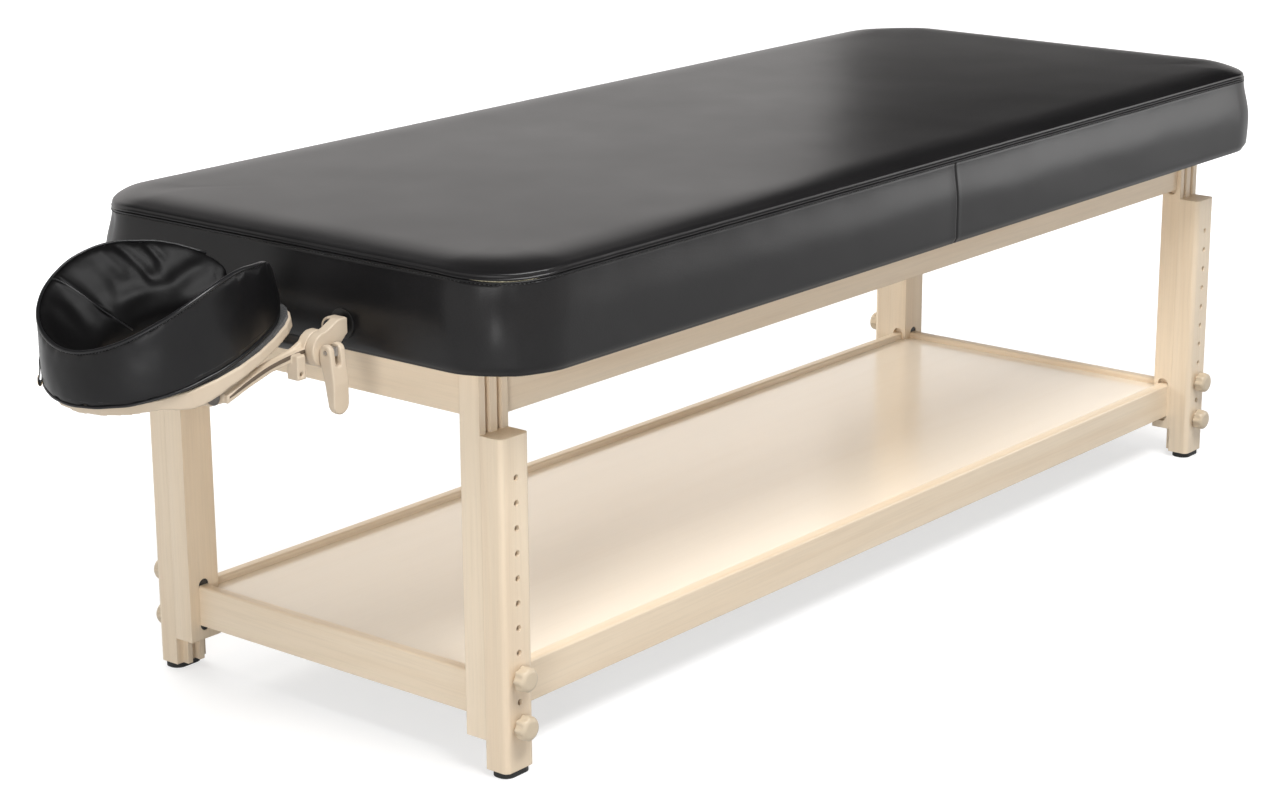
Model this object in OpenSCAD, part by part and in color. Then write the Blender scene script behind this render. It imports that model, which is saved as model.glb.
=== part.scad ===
// Stationary massage table: padded top on a wooden frame with four telescopic
// legs, a storage shelf and an adjustable face cradle at the head end.
// Millimetres, +Z up, floor at zero. +X runs along the table to the foot end,
// the cradle is at -X, and the near long side is at -Y. The origin is the
// centre of the footprint, cradle included.

/* [Tabletop] */
// Length of the padded top
top_l = 1854; // [1500:1:2200]
// Width of the padded top
top_w = 762; // [660:1:900]
// Plan radius of the padded top's corners
top_corner_r = 110; // [60:1:160]
// Height of the padded top at its edge
top_t = 130; // [118:1:170]
// Rise of the crown above the edge
crown_h = 1.5; // [0.5:0.5:8]
// How far the perimeter seam lies below the edge height
seam_drop = 13; // [8:0.5:16]
// How far the side band swells beyond its hems
side_bulge = 2.5; // [0:0.5:5]
// Depth of the seam groove
seam_groove = 1.5; // [0:0.5:3]
// Width of the rounded upper edge
edge_round = 55; // [35:1:60]
// Plan radius of the corners at the seam, as a share of the radius below
seam_corner_share = 0.7; // [0.6:0.05:1]
// Thickness of the cover on the side band
skin_side = 6; // [4:0.5:8]
// Thickness of the cover and quilting at the edge of the top
skin_top = 16; // [14:0.5:20]

/* [Inner frame] */
// Thickness of the closing panel under the frame
base_t = 9; // [6:0.5:12]
// Height of the frame boards
frame_h = 38; // [37:1:45]
// Thickness of the frame boards
frame_t = 20; // [15:1:26]
// Width of each cross brace
brace_w = 60; // [55:1:90]
// Thickness of the deck under the foam
deck_t = 12; // [9:0.5:18]

/* [Legs] */
// From the end of the top to the centre of a leg
leg_end_inset = 80; // [70:1:140]
// From the side of the top to the outer face of a leg
leg_side_inset = 65; // [40:1:110]
// Width of posts and extensions along the table
leg_w = 51.5; // [48:0.5:64]
// Thickness of a post
post_t = 32; // [30:0.5:45]
// Length of a post
post_l = 480; // [440:1:540]
// Thickness of a leg extension
ext_t = 34; // [26:0.5:45]
// Length of a leg extension
ext_l = 429; // [419:1:480]
// Radius of the extension's outer edges
ext_edge_r = 8; // [2:0.5:12]
// Width of each guide tongue on the extension
tongue_w = 8; // [5:0.5:9]
// Depth of each guide tongue
tongue_d = 10; // [6:0.5:12]
// Width between the two tongues
tongue_gap = 13; // [12.5:0.5:16]
// Side and depth clearance of a tongue in its groove
tongue_clear = 0.3; // [0.2:0.05:0.5]
// Distance between adjusting holes
hole_pitch = 32; // [30:0.5:34]
// Number of adjusting holes
hole_count = 11; // [7:1:11]
// Lowest adjusting hole above the end of the extension
hole_end = 57; // [50:1:70]
// Lower knob bolt above the end of the post
bolt_low = 19; // [14:1:30]
// Thickness of the rubber foot
foot_t = 8; // [5:0.5:14]
// Inset of the rubber foot from the extension's faces
foot_inset = 2; // [1:0.5:8]
// Plan radius of the rubber foot's corners, as a share of its width
foot_round_share = 0.44; // [0.1:0.02:0.48]

/* [Knob bolts] */
// Diameter of the threaded stud
stud_d = 8; // [6:0.5:9]
// Fit between a stud and its hole, on the radius
stud_fit = 0.08; // [0.05:0.01:0.1]
// Length of the threaded insert in the post
insert_l = 14; // [10:0.5:17]
// Outer diameter of the threaded insert
insert_d = 11.5; // [11:0.1:12.3]
// Diameter of the knob over its lobes
knob_d = 33; // [28:0.5:40]
// Height of the lobed part
knob_h = 16; // [10:0.5:26]
// Number of lobes
knob_lobes = 8; // [5:1:12]
// Diameter of the washer flange
flange_d = 20; // [16:0.5:24]
// Thickness of the washer flange
flange_t = 3.5; // [2:0.5:8]

/* [Aprons and shelf] */
// Thickness of aprons and shelf rails
rail_t = 18; // [15:0.5:22]
// Height of an apron
apron_h = 74; // [55:1:100]
// Height of a shelf rail
rail_h = 55; // [40:1:75]
// Shelf rail above the end of the post
rail_lift = 21; // [15:1:60]
// Radius of the shelf rail's upper edges
rail_edge_r = 4; // [1:0.5:7]
// Depth of a rail's socket in the post
slot_d = 9; // [6:0.5:9.5]
// Length of the routed socket beyond the rail
slot_over = 9; // [8:0.5:12]
// Diameter of the wooden dowels
dowel_d = 8; // [6:0.5:9]
// Length of a dowel on each side of its joint
dowel_l = 14; // [8:0.5:18]
// How far the dowels of crossing rails lie above and below the rail's middle
dowel_shift = 11; // [9:0.5:14]
// Thickness of the shelf panel
panel_t = 9; // [6:0.5:12]
// How far the panel lies below the rail tops
panel_drop = 9; // [4:0.5:16]
// Width and height of the shelf cleats
cleat_s = 15; // [10:0.5:20]
// Side of the corner blocks under the top
block_s = 45; // [35:1:60]

/* [Cradle mount] */
// Distance of each cradle rod from the centre line
socket_y = 114; // [95:1:130]
// Height of the rod centre above the underside of the top
socket_z = 34; // [31:0.5:34.5]
// Diameter of a cradle rod
rod_d = 19; // [14:0.5:19.5]
// Length of a rod inside the table
rod_in = 130; // [110:1:160]
// Outer diameter of the socket ring
ring_d = 38; // [34:0.5:44]
// How far the socket ring stands out
ring_t = 3; // [2:0.5:5]
// Diameter of the socket's sleeve
sleeve_d = 24; // [22.5:0.5:25]
// Hinge axis beyond the end of the top
hinge_out = 48; // [48:0.5:60]
// Hinge axis below the rod centre
hinge_drop = 20; // [19:0.5:30]
// Radius of the hinge knuckles
knuckle_r = 22; // [20:0.5:24]
// Thickness of the outer hinge cheek
cheek_t = 14; // [10:0.5:18]
// Radius of the boss round the rod
boss_r = 13; // [12:0.5:15]
// Length of the boss along the rod
boss_l = 14; // [10:0.5:14]
// Length of rod that shows between the boss and the socket ring
rod_show = 8; // [8:0.5:14]

/* [Cradle arms] */
// Thickness of an arm's knuckle and lower lip
arm_t = 13.7; // [11:0.1:15]
// Thickness of an arm's web
web_t = 6; // [4:0.5:8]
// From the hinge axis to the platform pivot, level
arm_run = 163; // [150:1:190]
// From the hinge axis to the platform pivot, downwards
arm_fall = 27; // [20:0.5:35]
// Radius of the arm's end at the pivot
arm_end_r = 10; // [9:0.5:12]
// Height of the arm's lower lip
lip_h = 10; // [6:0.5:11]
// Radius of the tube between the arms
tube_r = 10; // [9.5:0.5:13]
// Running gap beside moving faces
run_gap = 0.3; // [0.2:0.05:0.4]

/* [Cam lever] */
// Length of the lever below its pin
lever_l = 76; // [60:1:100]
// Width of the lever
lever_w = 25; // [22:0.5:34]
// Thickness of the lever at its pin
lever_t = 15; // [14:0.5:18]
// Thickness of the lever at its tip
lever_tip_t = 8; // [5:0.5:12]
// Outward lean of the lever's tip
lever_lean = 9; // [4:0.5:16]
// Width of the slot between the prongs
fork_w = 9; // [9:0.5:11]
// Diameter of the lever's pin
pin_d = 5; // [4:0.5:6]
// Diameter of the hinge bolts
bolt_d = 8; // [7:0.5:8]

/* [Cradle platform] */
// Tilt of the platform in degrees, head end down
plat_tilt = 13; // [8:0.5:16]
// Length of the egg that the platform's midline follows
egg_l = 266; // [250:1:272]
// Half width of the egg at the middle
egg_half = 87; // [80:0.5:95]
// How much wider the egg is towards the crown, as a share
egg_share = 0.27; // [0.1:0.01:0.35]
// Egg centre from the pivots, towards the table
egg_out = 49; // [44:0.5:52]
// Angle round the egg at which the tips end
tip_angle = 150; // [144:1:154]
// Half width of the platform's band
plat_w = 35; // [32:0.5:38]
// Shift of the platform from the cushion, towards the table
plat_shift = 11; // [4:0.5:12]
// Underside of the platform above the pivot
plat_lift = 21; // [20:0.5:26]
// Thickness of the platform
plat_t = 4; // [3:0.5:5]
// Thickness of the platform's rim
rim_t = 3.5; // [2.5:0.5:4.5]
// Depth of the rim below the platform's top
rim_d = 13; // [8:0.5:15]
// Depth of the rim's lobe beside the pivot
lobe_d = 24; // [16:0.5:25]
// Thickness of the hook-and-loop pad
hook_t = 5; // [2:0.5:7]
// Inset of the hook-and-loop pad
hook_inset = 3; // [1:0.5:6]

/* [Face cushion] */
// Half width of the cushion's band at its fullest
cush_w = 38; // [34:0.5:41]
// Height of the cushion at the crown
cush_crown_h = 60; // [50:0.5:80]
// Height of the cushion along its sides
cush_side_h = 104; // [85:0.5:112]
// Height that the tips fall to
cush_tip_h = 52; // [40:0.5:80]
// How far the crown's top leans in
crown_lean = 16; // [5:0.5:22]
// Width of the pull tab
tab_w = 26; // [18:0.5:36]
// Length of the pull tab
tab_l = 34; // [20:0.5:45]
// Place of the pull tab round the egg, from the crown
tab_angle = 34; // [20:1:60]
// Thickness of the pull tab
tab_t = 2.5; // [1.5:0.5:4]

/* [Hidden] */
$fn = 64;

cream = "#dccbb2";
maple = "#e4d0ae";
vinyl = "#1b1b1d";
steel = "#8f9294";

// Overrun of every cut past the face that it opens
over = 1;
// Halves a length
half_share = 0.5;

// Heights from the floor
ext_z = foot_t;
post_z = ext_z + hole_end - bolt_low;
base_z = post_z + post_l;
top_z = base_z + top_t;
frame_z = base_z + base_t;
deck_z = frame_z + frame_h;
foam_z = deck_z + deck_t;
foam_top = top_z - skin_top;
seam_z = top_z - seam_drop;

// Leg places from the table's centre
leg_x = top_l / 2 - leg_end_inset;
ext_y = top_w / 2 - leg_side_inset;
post_y = ext_y - ext_t;
rail_y = post_y - post_t / 2;
post_in_x = leg_x - leg_w / 2;
post_in_y = post_y - post_t;
bolt_span = 2 * hole_pitch;

// Cradle places: x from the table's centre, z from the floor
end_x = -top_l / 2;
rod_z = base_z + socket_z;
hinge_x = end_x - hinge_out;
hinge_z = rod_z - hinge_drop;
pivot_x = hinge_x - arm_run;
pivot_z = hinge_z - arm_fall;
knuckle_gap = 3.7;
arm_y = socket_y - arm_t + knuckle_gap;
cheek_y = arm_y + arm_t + run_gap;
cush_z = plat_lift + plat_t + hook_t;
crown_x = egg_out - egg_l / 2 - cush_w;
cradle_reach = hinge_out + arm_run - crown_x * cos(plat_tilt)
    + (cush_z + cush_crown_h * half_share) * sin(plat_tilt);
origin_x = cradle_reach / 2;

// Puts a piece drawn about the table's centre into the part's own frame
module placed() {
    translate([origin_x, 0, 0]) children();
}

// Mirrors a piece drawn for the foot end's far corner to the corner (sx, sy)
module corner(sx, sy) {
    mirror([sx < 0 ? 1 : 0, 0, 0]) mirror([0, sy < 0 ? 1 : 0, 0]) children();
}

// Shapes

module rounded_plan(l, w, r) {
    for (x = [-1, 1], y = [-1, 1]) translate([x * (l / 2 - r), y * (w / 2 - r)]) circle(r);
    square([l - 2 * r, w], center = true);
    square([l, w - 2 * r], center = true);
}

// One ring of a rounded rectangle, drawn in by inset, at height z; corner_r is
// its plan radius before it is drawn in
function plan_ring(inset, z, corner_r, n) = let (r = max(corner_r - inset, seam_drop))
    [for (q = [0 : 3]) let (
        sx = (q == 0 || q == 3) ? 1 : -1, sy = q < 2 ? 1 : -1,
        cx = sx * (top_l / 2 - inset - r), cy = sy * (top_w / 2 - inset - r))
        for (i = [0 : n]) let (a = 90 * q + 90 * i / n) [cx + r * cos(a), cy + r * sin(a), z]];

// Triangles between stacked rings of m points, with flat caps
function loft_faces(rings, m) = concat(
    [for (i = [0 : rings - 2], j = [0 : m - 1]) let (k = (j + 1) % m)
        each [[i * m + j, (i + 1) * m + j, (i + 1) * m + k], [i * m + j, (i + 1) * m + k, i * m + k]]],
    [for (j = [1 : m - 2]) [0, j, j + 1]],
    [for (j = [1 : m - 2]) [(rings - 1) * m, (rings - 1) * m + j + 1, (rings - 1) * m + j]]);

// Tabletop

plan_steps = 9;
crown_steps = 6;
// Side band profile as shares of the bulge, and heights as shares of the band
band_in_shares = [1, 0.45, 0.1, 0, 0.12, 0.5, 0.9];
band_z_shares = [0, 0.12, 0.3, 0.5, 0.7, 0.88, 0.97];
// How far the corners have tightened from the hem to the seam, as shares
band_corner_shares = [0, 0, 0.02, 0.2, 0.55, 0.9, 1];
// Rounded edge: inset as shares of its width, height as shares of the seam drop
edge_in_shares = [0.04, 0.12, 0.26, 0.48, 0.74, 1];
edge_z_shares = [0.13, 0.35, 0.64, 0.89, 0.985, 1];
seam_corner_r = top_corner_r * seam_corner_share;
crown_span = top_w / 2 - edge_round - top_corner_r * half_share;

// Inset, height and plan radius of each ring of the cover
function cover_rings() = concat(
    [for (i = [0 : len(band_in_shares) - 1])
        [side_bulge * band_in_shares[i], base_z + (seam_z - base_z) * band_z_shares[i],
            top_corner_r + (seam_corner_r - top_corner_r) * band_corner_shares[i]]],
    [[side_bulge + seam_groove, seam_z, seam_corner_r]],
    [for (i = [0 : len(edge_in_shares) - 1])
        [side_bulge * half_share + edge_round * edge_in_shares[i], seam_z + seam_drop * edge_z_shares[i],
            seam_corner_r]],
    [for (i = [1 : crown_steps]) let (s = i / crown_steps)
        [side_bulge * half_share + edge_round + crown_span * s, top_z + crown_h * sin(90 * s),
            seam_corner_r]]);

module top_cover() placed() color(vinyl) difference() {
    rings = cover_rings();
    m = 4 * (plan_steps + 1);
    polyhedron([for (g = rings) each plan_ring(g[0], g[1], g[2], plan_steps)], loft_faces(len(rings), m));
    translate([0, 0, base_z - over]) linear_extrude(foam_top - base_z + over) inner_plan();
    for (y = [-1, 1]) translate([end_x - over, y * socket_y, rod_z])
        rotate([0, 90, 0]) cylinder(d = sleeve_d + 2 * run_gap, h = skin_side + side_bulge + 2 * over);
}

module inner_plan(gap = 0)
    rounded_plan(top_l - 2 * (skin_side + side_bulge + gap), top_w - 2 * (skin_side + side_bulge + gap),
        top_corner_r - skin_side - side_bulge - gap);

module foam_core() placed() color("#cfc9a8")
    translate([0, 0, foam_z]) linear_extrude(foam_top - foam_z) inner_plan();

module deck_board() placed() color(maple)
    translate([0, 0, deck_z]) linear_extrude(deck_t) inner_plan();

module base_panel() placed() color(maple)
    translate([0, 0, base_z]) linear_extrude(base_t) inner_plan();

frame_l = top_l - 2 * (skin_side + side_bulge);
frame_w = top_w - 2 * (skin_side + side_bulge);
side_l = frame_l - 2 * top_corner_r;
end_w = frame_w - 2 * top_corner_r;

module frame_side(s)
    translate([-side_l / 2, s > 0 ? frame_w / 2 - frame_t : -frame_w / 2, frame_z])
        cube([side_l, frame_t, frame_h]);

module frame_side_near() placed() color(maple) frame_side(-1);
module frame_side_far() placed() color(maple) frame_side(1);

module frame_end(s)
    translate([s > 0 ? frame_l / 2 - frame_t : -frame_l / 2, -end_w / 2, frame_z])
        cube([frame_t, end_w, frame_h]);

module frame_end_head() placed() color(maple) difference() {
    frame_end(-1);
    for (y = [-1, 1]) translate([-frame_l / 2 - over, y * socket_y, rod_z])
        rotate([0, 90, 0]) cylinder(d = sleeve_d + 2 * run_gap, h = frame_t + 2 * over);
}
module frame_end_foot() placed() color(maple) frame_end(1);

module cross_braces() placed() color(maple) difference() {
    for (x = [-1, 0, 1]) translate([x * leg_x - brace_w / 2, -frame_w / 2 + frame_t, frame_z])
        cube([brace_w, frame_w - 2 * frame_t, frame_h]);
    for (y = [-1, 1]) translate([-leg_x - brace_w / 2 - over, y * socket_y, rod_z])
        rotate([0, 90, 0]) cylinder(d = rod_d + 2 * run_gap, h = brace_w + 2 * over);
}

module socket_rings() placed() color("#141414") for (y = [-1, 1])
    translate([end_x, y * socket_y, rod_z]) rotate([0, 90, 0]) difference() {
        union() {
            translate([0, 0, -ring_t]) cylinder(d = ring_d, h = ring_t);
            cylinder(d = sleeve_d, h = skin_side + side_bulge + frame_t);
        }
        translate([0, 0, -ring_t - over])
            cylinder(d = rod_d + 2 * stud_fit, h = ring_t + skin_side + side_bulge + frame_t + 2 * over);
    }

// Legs

groove_x = tongue_gap / 2 + tongue_w / 2;

// Socket of a rail end: straight sides, round ends; cut along -Y into a face at y = 0
module rail_socket(h) {
    rotate([90, 0, 0]) {
        translate([-rail_t / 2, 0, -over]) cube([rail_t, h, slot_d + over]);
        for (z = [0, h]) translate([0, z, -over]) cylinder(d = rail_t, h = slot_d + over);
    }
}

module dowel_bore(l) cylinder(d = dowel_d, h = l);

// A post for the foot end's far corner
module post() difference() {
    translate([post_in_x, post_in_y, post_z]) cube([leg_w, post_t, post_l]);
    // guide grooves
    for (s = [-1, 1])
        translate([leg_x + s * groove_x - tongue_w / 2 - tongue_clear, post_y - tongue_d - tongue_clear,
            post_z - over])
            cube([tongue_w + 2 * tongue_clear, tongue_d + tongue_clear + over, post_l + 2 * over]);
    // sockets for the shelf rails and the aprons, along the table and across it
    for (r = socket_spans()) {
        translate([post_in_x, rail_y, r[0]]) rotate([0, 0, 90]) rail_socket(r[1]);
        translate([leg_x, post_in_y, r[0]]) mirror([0, 1, 0]) rail_socket(r[1]);
    }
    // dowel bores behind the sockets
    for (z = dowel_zs()) {
        translate([post_in_x, rail_y, z + dowel_shift]) rotate([0, 90, 0]) dowel_bore(slot_d + dowel_l);
        translate([leg_x, post_in_y, z - dowel_shift]) rotate([-90, 0, 0]) dowel_bore(slot_d + dowel_x);
    }
    // bores for the threaded inserts
    for (z = bolt_zs()) translate([leg_x, post_y - insert_l, z])
        rotate([-90, 0, 0]) cylinder(d = insert_d, h = insert_l + over);
}
dowel_x = 6;
rail_z = post_z + rail_lift;
apron_z = base_z - apron_h;
function bolt_zs() = [post_z + bolt_low, post_z + bolt_low + bolt_span];
function dowel_zs() = [rail_z + rail_h / 2, apron_z + apron_h / 2];
// Each socket's lowest centre and the length of its straight part
function socket_spans() = [
    [rail_z - slot_over + rail_t / 2, rail_h + 2 * slot_over - rail_t],
    [apron_z - slot_over + rail_t / 2, apron_h + slot_over]];

module post_head_near() placed() color(maple) corner(-1, -1) post();
module post_head_far() placed() color(maple) corner(-1, 1) post();
module post_foot_near() placed() color(maple) corner(1, -1) post();
module post_foot_far() placed() color(maple) corner(1, 1) post();

module extension() difference() {
    union() {
        translate([post_in_x, post_y, ext_z]) linear_extrude(ext_l) {
            square([leg_w, ext_t - ext_edge_r]);
            translate([ext_edge_r, 0]) square([leg_w - 2 * ext_edge_r, ext_t]);
            for (x = [ext_edge_r, leg_w - ext_edge_r]) translate([x, ext_t - ext_edge_r]) circle(ext_edge_r);
        }
        for (s = [-1, 1]) translate([leg_x + s * groove_x - tongue_w / 2, post_y - tongue_d, ext_z])
            cube([tongue_w, tongue_d + over, ext_l]);
    }
    for (i = [0 : hole_count - 1])
        translate([leg_x, post_y - tongue_d - over, ext_z + hole_end + i * hole_pitch]) rotate([-90, 0, 0]) cylinder(d = stud_d + 2 * stud_fit, h = ext_t + tongue_d + 2 * over);
}

module extension_head_near() placed() color(maple) corner(-1, -1) extension();
module extension_head_far() placed() color(maple) corner(-1, 1) extension();
module extension_foot_near() placed() color(maple) corner(1, -1) extension();
module extension_foot_far() placed() color(maple) corner(1, 1) extension();

foot_w = ext_t - 2 * foot_inset;
module foot() translate([leg_x, post_y + ext_t / 2, 0])
    linear_extrude(foot_t) rounded_plan(leg_w - 2 * foot_inset, foot_w, foot_w * foot_round_share);

module foot_head_near() placed() color(vinyl) corner(-1, -1) foot();
module foot_head_far() placed() color(vinyl) corner(-1, 1) foot();
module foot_foot_near() placed() color(vinyl) corner(1, -1) foot();
module foot_foot_far() placed() color(vinyl) corner(1, 1) foot();

knob_lobe_share = 0.24;
knob_r = knob_d / 2;
// Domed front of the knob: radii and heights as shares of the knob's
dome_r_shares = [1.1, 1.1, 0.98, 0.92, 0.82, 0.64, 0];
dome_z_shares = [0, 0.5, 0.62, 0.8, 0.91, 1, 1];
lobe_r = knob_r * knob_lobe_share;

// A knob bolt in the lower (i = 0) or upper (i = 1) hole
module knob(i) translate([leg_x, ext_y, bolt_zs()[i]]) rotate([-90, 0, 0]) {
    translate([0, 0, -ext_t - insert_l]) cylinder(d = stud_d, h = ext_t + insert_l + over);
    cylinder(d = flange_d, h = flange_t);
    translate([0, 0, flange_t]) intersection() {
        linear_extrude(knob_h) {
            circle(knob_r - lobe_r * half_share);
            for (k = [0 : knob_lobes - 1]) rotate(360 * k / knob_lobes)
                translate([knob_r - lobe_r, 0]) circle(lobe_r);
        }
        rotate_extrude() polygon(concat([[0, 0]],
            [for (i = [0 : len(dome_r_shares) - 1]) [knob_r * dome_r_shares[i], knob_h * dome_z_shares[i]]]));
    }
}

module knob_head_near_low() placed() color(cream) corner(-1, -1) knob(0);
module knob_head_near_high() placed() color(cream) corner(-1, -1) knob(1);
module knob_head_far_low() placed() color(cream) corner(-1, 1) knob(0);
module knob_head_far_high() placed() color(cream) corner(-1, 1) knob(1);
module knob_foot_near_low() placed() color(cream) corner(1, -1) knob(0);
module knob_foot_near_high() placed() color(cream) corner(1, -1) knob(1);
module knob_foot_far_low() placed() color(cream) corner(1, 1) knob(0);
module knob_foot_far_high() placed() color(cream) corner(1, 1) knob(1);

module threaded_inserts() placed() color(steel) for (sx = [-1, 1], sy = [-1, 1], z = bolt_zs())
    corner(sx, sy) translate([leg_x, post_y - insert_l, z]) rotate([-90, 0, 0]) difference() {
        cylinder(d = insert_d, h = insert_l);
        translate([0, 0, -over]) cylinder(d = stud_d + 2 * stud_fit, h = insert_l + 2 * over);
    }

module dowels() placed() color(maple) for (sx = [-1, 1], sy = [-1, 1], z = dowel_zs()) corner(sx, sy) {
    translate([post_in_x + slot_d - dowel_l, rail_y, z + dowel_shift]) rotate([0, 90, 0])
        cylinder(d = dowel_d, h = 2 * dowel_l);
    translate([leg_x, post_in_y + slot_d - dowel_l, z - dowel_shift]) rotate([-90, 0, 0])
        cylinder(d = dowel_d, h = dowel_l + dowel_x);
}

// Aprons and shelf

long_l = 2 * (post_in_x + slot_d);
cross_l = 2 * (post_in_y + slot_d);

// A board along X, with a dowel bore in each end, shifted up or down
module board(l, h, r, shift) difference() {
    translate([-l / 2, 0, 0]) rotate([90, 0, 90]) linear_extrude(l) {
        translate([-rail_t / 2, 0]) square([rail_t, h - r]);
        translate([-rail_t / 2 + r, 0]) square([rail_t - 2 * r, h]);
        for (s = [-1, 1]) translate([s * (rail_t / 2 - r), h - r]) circle(r);
    }
    for (s = [-1, 1]) translate([s * l / 2, 0, h / 2 + shift]) rotate([0, -s * 90, 0])
        translate([0, 0, -over]) dowel_bore(dowel_l + over);
}

apron_r = rail_edge_r / 4;
module apron_near() placed() color(maple)
    translate([0, -rail_y, apron_z]) board(long_l, apron_h, apron_r, dowel_shift);
module apron_far() placed() color(maple)
    translate([0, rail_y, apron_z]) board(long_l, apron_h, apron_r, dowel_shift);
module apron_head() placed() color(maple)
    translate([-leg_x, 0, apron_z]) rotate([0, 0, 90]) board(cross_l, apron_h, apron_r, -dowel_shift);
module apron_foot() placed() color(maple)
    translate([leg_x, 0, apron_z]) rotate([0, 0, 90]) board(cross_l, apron_h, apron_r, -dowel_shift);
module shelf_rail_near() placed() color(maple)
    translate([0, -rail_y, rail_z]) board(long_l, rail_h, rail_edge_r, dowel_shift);
module shelf_rail_far() placed() color(maple)
    translate([0, rail_y, rail_z]) board(long_l, rail_h, rail_edge_r, dowel_shift);
module shelf_rail_head() placed() color(maple)
    translate([-leg_x, 0, rail_z]) rotate([0, 0, 90]) board(cross_l, rail_h, rail_edge_r, -dowel_shift);
module shelf_rail_foot() placed() color(maple)
    translate([leg_x, 0, rail_z]) rotate([0, 0, 90]) board(cross_l, rail_h, rail_edge_r, -dowel_shift);

module corner_blocks() placed() color(maple) for (sx = [-1, 1], sy = [-1, 1]) corner(sx, sy)
    translate([post_in_x, rail_y - rail_t / 2, base_z - block_s]) mirror([1, 0, 0]) mirror([0, 1, 0])
        linear_extrude(block_s) polygon([[0, 0], [block_s, 0], [0, block_s]]);

panel_z = rail_z + rail_h - panel_drop - panel_t;
panel_half_x = leg_x - rail_t / 2;
panel_half_y = rail_y - rail_t / 2;

module shelf_panel() placed() color(maple) difference() {
    translate([-panel_half_x, -panel_half_y, panel_z]) cube([2 * panel_half_x, 2 * panel_half_y, panel_t]);
    for (sx = [-1, 1], sy = [-1, 1]) corner(sx, sy)
        translate([post_in_x, post_in_y, panel_z - over]) cube([leg_w, post_t, panel_t + 2 * over]);
}

module shelf_cleats() placed() color(maple) for (s = [-1, 1])
    translate([-post_in_x, s > 0 ? panel_half_y - cleat_s : -panel_half_y, panel_z - cleat_s])
        cube([2 * post_in_x, cleat_s, cleat_s]);

// Cradle mount

// Draws a side profile in X and Z and gives it thickness from y to y + t on the side s
module side_plate(s, y, t)
    mirror([0, s < 0 ? 1 : 0, 0]) translate([0, y + t, 0]) rotate([90, 0, 0]) linear_extrude(t) children();

module y_bar(s, y, d, l)
    mirror([0, s < 0 ? 1 : 0, 0]) translate([0, y, 0]) rotate([-90, 0, 0]) cylinder(d = d, h = l);

boss_x = end_x - ring_t - rod_show - boss_l;

module cradle_rod(s) translate([boss_x, s * socket_y, rod_z]) rotate([0, 90, 0])
    cylinder(d = rod_d, h = boss_l + rod_show + ring_t + rod_in);

module cradle_rod_near() placed() color("#1c1c1c") cradle_rod(-1);
module cradle_rod_far() placed() color("#1c1c1c") cradle_rod(1);

// Bracket: boss round the rod, web, and the outer cheek of the hinge
module bracket(s) difference() {
    union() {
        translate([hinge_x, 0, hinge_z]) side_plate(s, cheek_y, cheek_t) circle(knuckle_r);
        side_plate(s, cheek_y, cheek_t) polygon([
            [hinge_x, hinge_z + knuckle_r], [hinge_x, hinge_z],
            [hinge_x + knuckle_r, hinge_z], [boss_x + boss_l, rod_z - boss_r * half_share],
            [boss_x + boss_l, rod_z + boss_r], [boss_x, rod_z + boss_r]]);
        translate([boss_x, s * socket_y, rod_z]) rotate([0, 90, 0]) cylinder(r = boss_r, h = boss_l);
    }
    translate([boss_x - over, s * socket_y, rod_z]) rotate([0, 90, 0])
        cylinder(d = rod_d, h = boss_l + 2 * over);
    translate([hinge_x, 0, hinge_z]) y_bar(s, cheek_y - over, bolt_d, cheek_t + 2 * over);
    // ring groove round the bolt on the outer face
    translate([hinge_x, 0, hinge_z]) difference() {
        y_bar(s, cheek_y + cheek_t - ring_d_cut, 2 * groove_r, over + ring_d_cut);
        y_bar(s, cheek_y + cheek_t - 2 * over, 2 * (groove_r - over), 2 * over + ring_d_cut);
    }
}
groove_r = 16;
ring_d_cut = 1;

module cradle_bracket_near() placed() color(cream) bracket(-1);
module cradle_bracket_far() placed() color(cream) bracket(1);

pin_out = 10;
pin_y = cheek_y + cheek_t + pin_out;
eye_t = fork_w - 2 * run_gap;
tube_wall = 3.4;
nut_r = tube_r - tube_wall;

// Near bolt: shaft through the cheek and the knuckle, a nut inside the tube,
// and an eye for the lever's pin
module hinge_bolt_near() placed() color(steel) translate([hinge_x, 0, hinge_z]) difference() {
    union() {
        y_bar(-1, arm_y - nut_l, bolt_d, nut_l + arm_t + run_gap + cheek_t + pin_out);
        y_bar(-1, arm_y - nut_l, 2 * nut_r, nut_l);
        translate([-eye_t / 2, -pin_y - eye_r, -eye_r]) cube([eye_t, 2 * eye_r, 2 * eye_r]);
    }
    translate([-eye_t, -pin_y, 0]) rotate([0, 90, 0]) cylinder(d = pin_d, h = 2 * eye_t);
}
eye_r = 5.5;
nut_l = 7;

module hinge_bolt_far() placed() color(steel) translate([hinge_x, 0, hinge_z]) {
    y_bar(1, arm_y - nut_l, bolt_d, nut_l + arm_t + run_gap + cheek_t);
    y_bar(1, arm_y - nut_l, 2 * nut_r, nut_l);
    y_bar(1, cheek_y + cheek_t, 2 * nut_r + nut_l, nut_l * half_share);
}

module lever_pin() placed() color(steel)
    translate([hinge_x - lever_w / 2, -pin_y, hinge_z]) rotate([0, 90, 0]) cylinder(d = pin_d, h = lever_w);

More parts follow.
